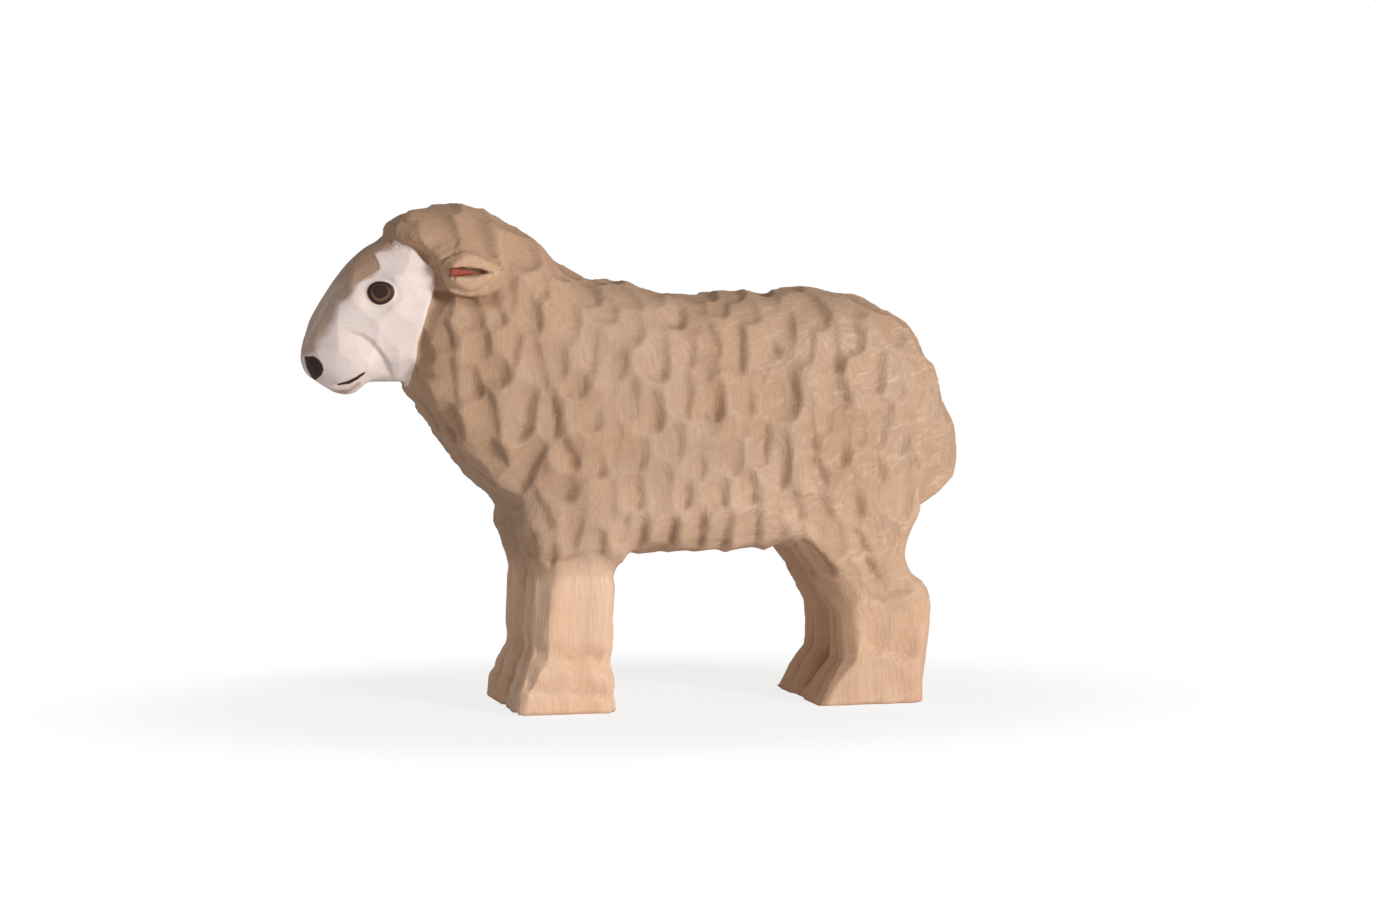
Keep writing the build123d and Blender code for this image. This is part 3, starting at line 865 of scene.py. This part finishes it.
def paint_film(name, node, material, field, low, high, coats, halvings, wear=None):
    """A closed film of paint on the carved surface where the field is below zero."""
    points, normals, triangles = blank_surface()
    middle = points[triangles].mean(axis=1)
    near = np.all((middle > np.asarray(low)) & (middle < np.asarray(high)), axis=1)
    patch = compact(points, normals, triangles[near])
    for _ in range(halvings):
        patch = refined(*patch, np.ones(len(patch[0]), dtype=bool))
    patch = refined(*patch, np.abs(field(patch[0])) < FILM_EDGE_BAND)
    blank, facing, faces, edge = clipped(*patch, field(patch[0]))
    ground = carve(blank, facing)[0]
    lift = coats * in_mm(bpy.context.scene.sheep_sizes.coat)
    top = ground + facing * lift
    bottom = ground - facing * FILM_ROOT
    count = len(top)
    pairs = {(a, b) for a, b in sides_of(faces).tolist()}
    rim = np.array([(a, b) for a, b in pairs if (b, a) not in pairs])
    walls = np.concatenate([
        np.stack([rim[:, 1], rim[:, 0], rim[:, 0] + count], axis=1),
        np.stack([rim[:, 1], rim[:, 0] + count, rim[:, 1] + count], axis=1),
    ])
    shell = np.concatenate([faces, faces[:, ::-1] + count, walls])
    inset = -edge if wear is None else wear(blank, -edge)
    mesh = mesh_from(name, np.concatenate([top, bottom]), shell, inset=np.concatenate([inset, inset]))
    return place_piece(name, mesh, node, material)


def slit_paint(name, node, material, side):
    """A closed wedge of paint that fills the front of an ear's slit."""
    outline = np.asarray(EAR_WEDGE + EAR_WEDGE[:1])
    runs = np.linalg.norm(np.diff(outline, axis=0), axis=1)
    along = np.concatenate([[0.0], np.cumsum(runs)])
    steps = np.linspace(0.0, along[-1], SLIT_STEPS, endpoint=False)
    ring = np.stack([np.interp(steps, along, column) for column in outline.T], axis=1)
    middle = ring.mean(axis=0)
    layers = [(EAR_PAINT_FLOOR, 1.0)]
    for share in (1.0, 0.85, 0.6, 0.3):
        layers.append((EAR_PAINT_LEVEL + EAR_PAINT_CROWN * (1.0 - share * share), share))
    points, inset = [], []
    for level, share in layers:
        spread = middle + share * (ring - middle)
        points.append(np.stack([spread[:, 0], np.full(SLIT_STEPS, side * level), spread[:, 1]], axis=1))
        inset.append(np.full(SLIT_STEPS, 0.1 + 1.0 - share))
    points.append(np.array([(middle[0], side * (EAR_PAINT_LEVEL + EAR_PAINT_CROWN), middle[1])]))
    points.append(np.array([(middle[0], side * EAR_PAINT_FLOOR, middle[1])]))
    inset.append(np.array([1.0, 1.0]))
    here = np.arange(SLIT_STEPS)
    after = np.roll(here, -1)
    triangles = []
    for layer in range(len(layers) - 1):
        low, high = layer * SLIT_STEPS, (layer + 1) * SLIT_STEPS
        triangles.append(np.stack([low + here, low + after, high + after], axis=1))
        triangles.append(np.stack([low + here, high + after, high + here], axis=1))
    last, top = (len(layers) - 1) * SLIT_STEPS, len(layers) * SLIT_STEPS
    triangles.append(np.stack([last + here, last + after, np.full(SLIT_STEPS, top)], axis=1))
    triangles.append(np.stack([after, here, np.full(SLIT_STEPS, top + 1)], axis=1))
    triangles = np.concatenate(triangles)
    if side > 0:
        triangles = triangles[:, ::-1]
    mesh = mesh_from(name, np.concatenate(points), triangles, inset=np.concatenate(inset))
    return place_piece(name, mesh, node, material)


def add_node(tree, kind, inputs=None, **settings):
    """A shader node with its settings, its plain inputs and its links."""
    node = tree.nodes.new(kind)
    for key, value in settings.items():
        setattr(node, key, value)
    for key, value in (inputs or {}).items():
        if isinstance(value, bpy.types.NodeSocket):
            tree.links.new(value, node.inputs[key])
        else:
            node.inputs[key].default_value = value
    return node


def new_material(name):
    """An empty material with its shader and output."""
    material = bpy.data.materials.new(name)
    material.use_nodes = True
    tree = material.node_tree
    return material, tree, tree.nodes["Principled BSDF"]


def place_in_mm(tree):
    """The place on the object, in millimetres."""
    position = add_node(tree, "ShaderNodeNewGeometry").outputs["Position"]
    settings = {0: position, "Scale": 1.0 / MM}
    return add_node(tree, "ShaderNodeVectorMath", settings, operation="SCALE").outputs[0]


def vector_worked_out(tree, operation, first, second):
    """A sum worked on two vectors in a shader."""
    return add_node(tree, "ShaderNodeVectorMath", {0: first, 1: second}, operation=operation).outputs[0]


def length_of(tree, vector):
    """The length of a vector in a shader."""
    return add_node(tree, "ShaderNodeVectorMath", {0: vector}, operation="LENGTH").outputs["Value"]


def corner_value(tree, name):
    """A value that the mesh carries at its corners."""
    return add_node(tree, "ShaderNodeAttribute", attribute_name=name).outputs["Fac"]


def noise(tree, place, stretch, detail=2.0, roughness=0.5, swirl=0.0):
    """Noise over places stretched by a factor on each axis."""
    spread = vector_worked_out(tree, "MULTIPLY", place, stretch)
    settings = {
        "Vector": spread, "Scale": 1.0, "Detail": detail, "Roughness": roughness, "Distortion": swirl,
    }
    return add_node(tree, "ShaderNodeTexNoise", settings).outputs[0]


def between(tree, value, low, high, to_low=0.0, to_high=1.0):
    """A value carried smoothly from one span to another."""
    settings = {"Value": value, "From Min": low, "From Max": high, "To Min": to_low, "To Max": to_high}
    return add_node(tree, "ShaderNodeMapRange", settings, interpolation_type="SMOOTHSTEP").outputs[0]


def blended(tree, share, first, second):
    """Two colours mixed by a share."""
    mix = tree.nodes.new("ShaderNodeMix")
    mix.data_type = "RGBA"
    for socket, value in ((mix.inputs[0], share), (mix.inputs[6], first), (mix.inputs[7], second)):
        if isinstance(value, bpy.types.NodeSocket):
            tree.links.new(value, socket)
        else:
            socket.default_value = value if isinstance(value, float) else (*value, 1.0)
    return mix.outputs[2]


def worked_out(tree, operation, first, second):
    """A sum worked on two values in a shader."""
    return add_node(tree, "ShaderNodeMath", {0: first, 1: second}, operation=operation).outputs[0]


def laid_on(tree, base, colour, mask, share):
    """A colour laid over a base where a mask is 1, as thickly as the share says."""
    return blended(tree, worked_out(tree, "MULTIPLY", mask, share), base, colour)


@lru_cache(maxsize=None)
def wood_material():
    """Pale carving wood with growth rings and upright fibres, painted shade in the cuts and a painted
    highlight on the ridges.
    """
    sizes, colours = bpy.context.scene.sheep_sizes, bpy.context.scene.sheep_colours
    material, tree, shader = new_material("carved_wood")
    place = place_in_mm(tree)
    pith = vector_worked_out(tree, "ADD", place, (-6.0, -90.0, 0.0))
    radius = length_of(tree, vector_worked_out(tree, "MULTIPLY", pith, (1.0, 1.0, 0.05)))
    sway = noise(tree, place, (0.07, 0.07, 0.035), detail=3.0)
    bent = worked_out(tree, "ADD", radius, worked_out(tree, "MULTIPLY", sway, 3.0))
    ring_turn = 2.0 * math.pi / in_mm(sizes.ring_spacing)
    turns = worked_out(tree, "MULTIPLY", bent, ring_turn)
    rings = between(tree, worked_out(tree, "SINE", turns, 0.0), -0.2, 1.0)
    wide_turns = worked_out(tree, "MULTIPLY", bent, ring_turn / 3.6)
    years = between(tree, worked_out(tree, "SINE", wide_turns, 0.0), -0.6, 0.9)
    fibres = between(tree, noise(tree, place, (3.2, 3.2, 0.16), detail=3.0), 0.38, 0.68)
    pores = between(tree, noise(tree, place, (6.5, 6.5, 0.9), detail=1.0), 0.60, 0.72)
    blotches = between(tree, noise(tree, place, (0.06, 0.06, 0.05)), 0.35, 0.65)
    plain = corner_value(tree, "plain")
    along = add_node(tree, "ShaderNodeSeparateXYZ", {0: place}).outputs["X"]

    # Wood from the inside out: patches, rings, fibres, mottling and pores.
    light = laid_on(tree, colours.wood_light, colours.wood_warm, blotches, share=0.60)
    banded = laid_on(tree, light, colours.wood_dark, years, share=0.16)
    figure = between(tree, along, 2.0, 24.0, 0.15, 0.30)
    ring_share = worked_out(tree, "MULTIPLY", figure, between(tree, plain, 0.0, 1.0, 1.0, 0.45))
    ringed = laid_on(tree, banded, colours.wood_dark, rings, ring_share)
    fibre_share = between(tree, plain, 0.0, 1.0, 0.16, 0.32)
    grained = laid_on(tree, ringed, colours.wood_dark, fibres, fibre_share)
    speckles = noise(tree, place, (2.2, 2.2, 1.5), detail=4.0, roughness=0.7)
    mottled = blended(tree, between(tree, speckles, 0.36, 0.66, 0.0, 0.20), grained, colours.wood_dark)
    pored = laid_on(tree, mottled, colours.pores_and_crease_shade, pores, share=0.10)

    # What the carving adds: the fleece's tint, pale flecks towards the tail, a painted highlight on the
    # ridges and painted shade in the cuts.
    # The plain places lose the fleece's tint; on the lower belly this is painted light.
    fleece = vector_worked_out(tree, "MULTIPLY", pored, blended(tree, plain, colours.fleece_tint, WHITE))
    tilt = {"Vector": place, "Rotation": (0.0, 0.35, 0.0)}
    tilted = add_node(tree, "ShaderNodeMapping", tilt).outputs[0]
    figured = noise(tree, tilted, (0.34, 0.34, 1.0), detail=3.0, roughness=0.6, swirl=0.9)
    fleck_share = between(tree, along, 0.0, 26.0, 0.10, 0.40)
    flecked = laid_on(tree, fleece, colours.flecks_and_ridge_highlight, between(tree, figured, 0.52, 0.72), fleck_share)
    # Painted highlight: the ridges between scoops are lightened in colour.
    ridge_highlighted = laid_on(tree, flecked, colours.flecks_and_ridge_highlight, corner_value(tree, "edge"), share=0.07)
    # Painted shade: the cuts, the folds and the leg grooves are darkened in colour.
    dark = laid_on(tree, ridge_highlighted, colours.pores_and_crease_shade, corner_value(tree, "cut"), share=0.55)
    patchy = between(tree, noise(tree, place, (0.5, 0.5, 0.35), detail=3.0), 0.35, 0.65, 0.25, 0.60)
    washed = laid_on(tree, dark, colours.white_paint, corner_value(tree, "wash"), patchy)
    tree.links.new(washed, shader.inputs["Base Color"])
    tree.links.new(between(tree, fibres, 0.0, 1.0, 0.56, 0.72), shader.inputs["Roughness"])
    shader.inputs["Specular IOR Level"].default_value = 0.30
    relief = worked_out(tree, "ADD", fibres, worked_out(tree, "MULTIPLY", rings, 0.8))
    bump = add_node(tree, "ShaderNodeBump", {"Height": relief, "Strength": 0.55, "Distance": 0.03 * MM})
    tree.links.new(bump.outputs[0], shader.inputs["Normal"])
    return material


def paint_material(name, colour, thin_colour, thin_width, roughness):
    """Brushed paint that lets the wood through in places and towards its edge."""
    material, tree, shader = new_material(name)
    place = place_in_mm(tree)
    strokes = noise(tree, place, (0.9, 0.9, 2.6), detail=3.0, roughness=0.6)
    clouds = noise(tree, place, (0.35, 0.35, 0.35))
    ragged = worked_out(tree, "MULTIPLY", clouds, -0.8 * thin_width)
    rough_edge = worked_out(tree, "ADD", corner_value(tree, "inset"), ragged)
    thin = between(tree, rough_edge, -0.1 * thin_width, thin_width, 0.85, 0.0)
    streaks = between(tree, strokes, 0.50, 0.78, 0.0, 0.22)
    clear = worked_out(tree, "MAXIMUM", thin, streaks)
    tree.links.new(blended(tree, clear, colour, thin_colour), shader.inputs["Base Color"])
    sheen = between(tree, strokes, 0.3, 0.7, roughness - 0.08, roughness + 0.08)
    tree.links.new(sheen, shader.inputs["Roughness"])
    shader.inputs["Specular IOR Level"].default_value = 0.30
    bump = add_node(tree, "ShaderNodeBump", {"Height": strokes, "Strength": 0.35, "Distance": 0.05 * MM})
    tree.links.new(bump.outputs[0], shader.inputs["Normal"])
    return material


@lru_cache(maxsize=None)
def dark_paint_material():
    """The dark brown paint of the nose, the mouth and the eyes."""
    colours = bpy.context.scene.sheep_colours
    lighter = tuple(min(1.0, c * 3.0 + 0.01) for c in colours.dark_paint)
    return paint_material("dark_paint", tuple(colours.dark_paint), lighter, thin_width=0.12, roughness=0.5)


class SHEEP_OT_carve_wood(Operator):
    """Carves the body, hood, ears and legs out of the CAD block"""

    bl_idname = "sheep.carve_wood"
    bl_label = "Carve the wood"

    def execute(self, context):
        points, normals, triangles = blank_surface()
        normals = unit(evened(normals, triangles, rounds=4))
        points, normals, triangles = refined(points, normals, triangles, fine_places(points))
        worn = worn_depth(points, normals, triangles)
        head = head_weight(points)
        points = points + normals * (HEAD_FILLED_SHARE * worn * head)[:, None]
        moved, folds = carve(points, normals, worn * (1.0 - head))
        under_paint = ramp(-paint_edge(points), 0.2, 0.9) * face_weight(points)
        moved -= normals * (UNDER_PAINT_DEPTH * under_paint)[:, None]
        soft = evened(moved, triangles, rounds=2)
        spike = ramp(np.linalg.norm(soft - moved, axis=1), 0.10, 0.20) * ramp(hood_gap(points), 1.0, 2.0)
        spike *= ramp(outline_distance(points, EAR_ALMOND), 0.2, 1.0) * ramp(points[:, 2], 3.0, 5.0)
        moved += (soft - moved) * spike[:, None]
        bend = np.sum((evened(moved, triangles, rounds=3) - moved) * normals, axis=1)
        # edge is a painted highlight on the ridges.
        edge = ramp(-bend, 0.012, 0.06)
        # plain holds the pale wood of the legs and ears, and the painted light on the lower belly.
        plain = np.maximum(pale_wood_and_belly_light(points), EAR_PALE_SHARE * ear_weight(points))
        legs = leg_weight(points)
        # cut is painted shade: darker in the hollows, along the folds and in the leg grooves.
        cut = np.maximum(ramp(bend, 0.03, 0.13), ramp(folds, 0.25, 0.8)) * (1.0 - 0.65 * legs)
        cut = np.maximum(cut, 0.75 * legs * ramp(leg_grooves(points, normals), 0.15, 0.9))
        wash = face_weight(points) * ramp(-points[:, 0], 40.0, 46.5)
        mesh = mesh_from("wood_body", moved, triangles, edge=edge, cut=cut, plain=plain, wash=wash)
        place_piece("wood_body", mesh, "carved_body", wood_material())
        return {"FINISHED"}


def paint_edge(points):
    """The edge of the white paint: below the bare ridge and in front of the hood."""
    outline = list(BARE_RIDGE_EDGE) + [(-51.0, 53.4), (-51.0, 43.0), (-34.6, 43.0), (-34.0, 46.6)]
    outline += [(x + (0.45 if 50.0 < z < 60.0 else 0.1), z) for x, z in HOOD_EDGE[-2:0:-1]]
    wobble = 0.22 * np.sin(points[:, 0] * 1.9 + points[:, 1]) + 0.16 * np.sin(points[:, 2] * 3.1)
    wobble *= ramp(hood_x(points[:, 2]) - points[:, 0], 0.4, 1.6)
    cheek = np.asarray(CHEEK_HALF_WIDTH)
    proud = np.abs(points[:, 1]) - np.interp(points[:, 2], cheek[:, 1], cheek[:, 0]) - 0.8
    proud -= 9.0 * ramp(hood_x(points[:, 2]) - points[:, 0], 1.2, 2.4)
    return np.maximum(outline_distance(points, outline) + 0.6 * wobble, proud)


def face_wear(points, inset):
    """How deep in the white paint a place counts as: thin along the bridge and on the lower lip."""
    bridge = ramp(-points[:, 0], 41.0, 45.0) * ramp(points[:, 2], 50.5, 53.0)
    inset = np.minimum(inset * (1.0 - 0.72 * bridge), line_distance(points, LOWER_LIP)[0])
    return np.maximum(inset, 0.7 * ramp(hood_gap(points), -1.6, -0.8))


class SHEEP_OT_paint_face(Operator):
    """Paints the cheeks and the muzzle white"""

    bl_idname = "sheep.paint_face"
    bl_label = "Paint the face"

    def execute(self, context):
        colours = context.scene.sheep_colours
        paint = paint_material(
            "white_paint", tuple(colours.white_paint), tuple(colours.worn_paint),
            thin_width=0.4, roughness=0.6,
        )
        paint_film(
            "white_face", "face_paint", paint, paint_edge,
            (-60.0, -20.0, 40.0), (-28.0, 20.0, 72.0), coats=1, halvings=1, wear=face_wear,
        )
        return {"FINISHED"}


class SHEEP_OT_paint_nose_and_mouth(Operator):
    """Paints the dark nose and the line of the mouth on both sides"""

    bl_idname = "sheep.paint_nose_and_mouth"
    bl_label = "Paint the nose and the mouth"

    def execute(self, context):
        width = in_mm(context.scene.sheep_sizes.mouth_line)

        def nose(points):
            return np.maximum(outline_distance(points, NOSTRIL), 1.5 - np.abs(points[:, 1]))

        def mouth(points):
            gap, share, _ = line_distance(points, MOUTH)
            return gap - 0.5 * width * (0.55 + 0.45 * np.sin(np.pi * share))

        for side, low_y, high_y in SIDES:
            paint_film(
                f"nose_{side}", f"nostril_{side}", dark_paint_material(), nose,
                (-55.0, low_y, 45.0), (-44.0, high_y, 55.0), coats=2, halvings=2,
            )
            paint_film(
                f"mouth_{side}", f"mouth_line_{side}", dark_paint_material(), mouth,
                (-47.0, low_y, 45.0), (-38.0, high_y, 52.0), coats=2, halvings=3,
            )
        return {"FINISHED"}


class SHEEP_OT_paint_eyes(Operator):
    """Paints the rim, the brown ring and the pupil of both eyes"""

    bl_idname = "sheep.paint_eyes"
    bl_label = "Paint the eyes"

    def execute(self, context):
        sizes, colours = context.scene.sheep_sizes, context.scene.sheep_colours
        tan = paint_material(
            "tan_paint", tuple(colours.tan_paint), tuple(colours.dark_paint),
            thin_width=0.15, roughness=0.5,
        )
        x, z = EYE_CENTRE

        def disc(diameter, lift):
            def field(points):
                turn = np.arctan2(points[:, 2] - z - lift, points[:, 0] - x)
                uneven = 1.0 + 0.03 * np.sin(3.0 * turn + 0.7)
                return eye_gap(points, lift) - 0.5 * in_mm(diameter) * uneven

            return field

        discs = (
            ("eye_rim", sizes.eye_rim, 0.0, "dark_paint", dark_paint_material(), 2),
            ("eye_iris", sizes.eye_iris, -0.05, "tan_paint", tan, 3),
            ("eye_pupil", sizes.eye_pupil, 0.16, "dark_paint", dark_paint_material(), 4),
        )
        for side, low_y, high_y in SIDES:
            for name, diameter, lift, slot, material, coats in discs:
                paint_film(
                    f"{name}_disc_{side}", f"{name}_{side}", material, disc(diameter, lift),
                    (x - EYE_PATCH, low_y, z - EYE_PATCH), (x + EYE_PATCH, high_y, z + EYE_PATCH),
                    coats, halvings=3,
                )
        return {"FINISHED"}


class SHEEP_OT_paint_ears(Operator):
    """Paints the slit of both ears red"""

    bl_idname = "sheep.paint_ears"
    bl_label = "Paint the ears"

    def execute(self, context):
        colours = context.scene.sheep_colours
        red = paint_material(
            "red_paint", tuple(colours.red_paint), tuple(colours.wood_dark),
            thin_width=0.06, roughness=0.6,
        )
        for side_name, side in (("left", -1.0), ("right", 1.0)):
            slit_paint(f"ear_red_{side_name}", f"ear_paint_{side_name}", red, side)
        return {"FINISHED"}


def aim(thing, place, target):
    """Puts a lamp or camera at a place, looking at a target."""
    thing.location = place
    thing.rotation_mode = "QUATERNION"
    thing.rotation_quaternion = (target - place).to_track_quat("-Z", "Y")


def around(target, azimuth, elevation, distance):
    """A place round the target, azimuth 0 being in front of the photographed side."""
    a, e = math.radians(azimuth), math.radians(elevation)
    back = Vector((math.sin(a) * math.cos(e), -math.cos(a) * math.cos(e), math.sin(e)))
    return target + back * distance


def add_lamp(name, target, azimuth, elevation, distance, size, power, colour):
    """A square soft lamp aimed at the sheep."""
    data = bpy.data.lights.new(name, "AREA")
    data.shape = "SQUARE"
    data.size = size
    data.energy = power
    data.color = colour
    lamp = bpy.data.objects.new(name, data)
    bpy.context.scene.collection.objects.link(lamp)
    aim(lamp, around(target, azimuth, elevation, distance), target)


def floor_material(colour):
    """A white floor that keeps the soft shadow near the sheep and fades to white away from it."""
    material, tree, shader = new_material("floor")
    place = place_in_mm(tree)
    distance = length_of(tree, vector_worked_out(tree, "MULTIPLY", place, (1.0, 1.4, 0.0)))
    far = between(tree, distance, 50.0, 95.0, 0.80, 1.0)
    grain = between(tree, noise(tree, place, (0.4, 0.4, 0.4)), 0.3, 0.7)
    near_white = laid_on(tree, colour, (0.85, 0.85, 0.85), grain, share=0.05)
    tree.links.new(near_white, shader.inputs["Base Color"])
    shader.inputs["Roughness"].default_value = 0.9
    shader.inputs["Specular IOR Level"].default_value = 0.1
    white = add_node(tree, "ShaderNodeEmission", {"Color": (*WHITE, 1.0), "Strength": 1.0})
    seen = add_node(tree, "ShaderNodeLightPath").outputs["Is Camera Ray"]
    share = worked_out(tree, "MULTIPLY", far, seen)
    mix = add_node(tree, "ShaderNodeMixShader", {0: share, 1: shader.outputs[0], 2: white.outputs[0]})
    tree.links.new(mix.outputs[0], tree.nodes["Material Output"].inputs["Surface"])
    return material


def set_world():
    """A pale even sky that the camera sees as white."""
    world = bpy.data.worlds.new("white_room")
    world.use_nodes = True
    tree = world.node_tree
    sky = tree.nodes["Background"]
    sky.inputs["Color"].default_value = (1.0, 0.95, 0.90, 1.0)
    sky.inputs["Strength"].default_value = SKY_STRENGTH
    white = add_node(tree, "ShaderNodeBackground", {"Color": (*WHITE, 1.0), "Strength": 1.0})
    seen = add_node(tree, "ShaderNodeLightPath").outputs["Is Camera Ray"]
    mix = add_node(tree, "ShaderNodeMixShader", {0: seen, 1: sky.outputs[0], 2: white.outputs[0]})
    tree.links.new(mix.outputs[0], tree.nodes["World Output"].inputs["Surface"])
    bpy.context.scene.world = world


class SHEEP_OT_set_stage(Operator):
    """Sets the floor, the lamp and the camera of the photograph"""

    bl_idname = "sheep.set_stage"
    bl_label = "Set the stage"

    def execute(self, context):
        scene = context.scene
        mesh = bpy.data.meshes.new("floor")
        signs = ((-1.0, -1.0), (1.0, -1.0), (1.0, 1.0), (-1.0, 1.0))
        mesh.from_pydata([(x * FLOOR_REACH, y * FLOOR_REACH, 0.0) for x, y in signs], [], [(0, 1, 2, 3)])
        mesh.materials.append(floor_material(tuple(scene.sheep_colours.floor)))
        floor = bpy.data.objects.new("floor", mesh)
        scene.collection.objects.link(floor)
        target = Vector(PHOTO_TARGET)
        add_lamp(
            "key", target, azimuth=33.0, elevation=16.0, distance=0.70, size=0.16, power=3.45,
            colour=(1.0, 0.98, 0.95),
        )
        set_world()
        data = bpy.data.cameras.new("photo")
        data.sensor_width = PHOTO_SENSOR
        data.lens = PHOTO_LENS
        data.clip_start = 0.01
        data.dof.use_dof = False
        camera = bpy.data.objects.new("photo", data)
        scene.collection.objects.link(camera)
        aim(camera, around(target, PHOTO_AZIMUTH, PHOTO_ELEVATION, PHOTO_DISTANCE), target)
        scene.camera = camera
        scene.view_settings.view_transform = "Standard"
        return {"FINISHED"}


class SHEEP_PT_carving(Panel):
    """Sizes, colours and steps of the sheep"""

    bl_label = "Carved sheep"
    bl_idname = "SHEEP_PT_carving"
    bl_space_type = "VIEW_3D"
    bl_region_type = "UI"
    bl_category = "Sheep"

    def draw(self, context):
        for group in (context.scene.sheep_sizes, context.scene.sheep_colours):
            box = self.layout.box()
            for key in group.__annotations__:
                box.prop(group, key)
        for step in STEPS:
            self.layout.operator(step.bl_idname)


STEPS = (
    SHEEP_OT_carve_wood,
    SHEEP_OT_paint_face,
    SHEEP_OT_paint_nose_and_mouth,
    SHEEP_OT_paint_eyes,
    SHEEP_OT_paint_ears,
    SHEEP_OT_set_stage,
)
CLASSES = (SheepSizes, SheepColours, *STEPS, SHEEP_PT_carving)


def register():
    """Adds the sheep's settings, steps and panel to Blender."""
    for cls in CLASSES:
        bpy.utils.register_class(cls)
    bpy.types.Scene.sheep_sizes = PointerProperty(type=SheepSizes)
    bpy.types.Scene.sheep_colours = PointerProperty(type=SheepColours)


def unregister():
    """Takes the sheep's settings, steps and panel out of Blender."""
    del bpy.types.Scene.sheep_colours
    del bpy.types.Scene.sheep_sizes
    for cls in reversed(CLASSES):
        bpy.utils.unregister_class(cls)


def main():
    """Builds the sheep step by step."""
    register()
    for step in STEPS:
        group, name = step.bl_idname.split(".")
        getattr(getattr(bpy.ops, group), name)()


if __name__ == "__main__":
    main()
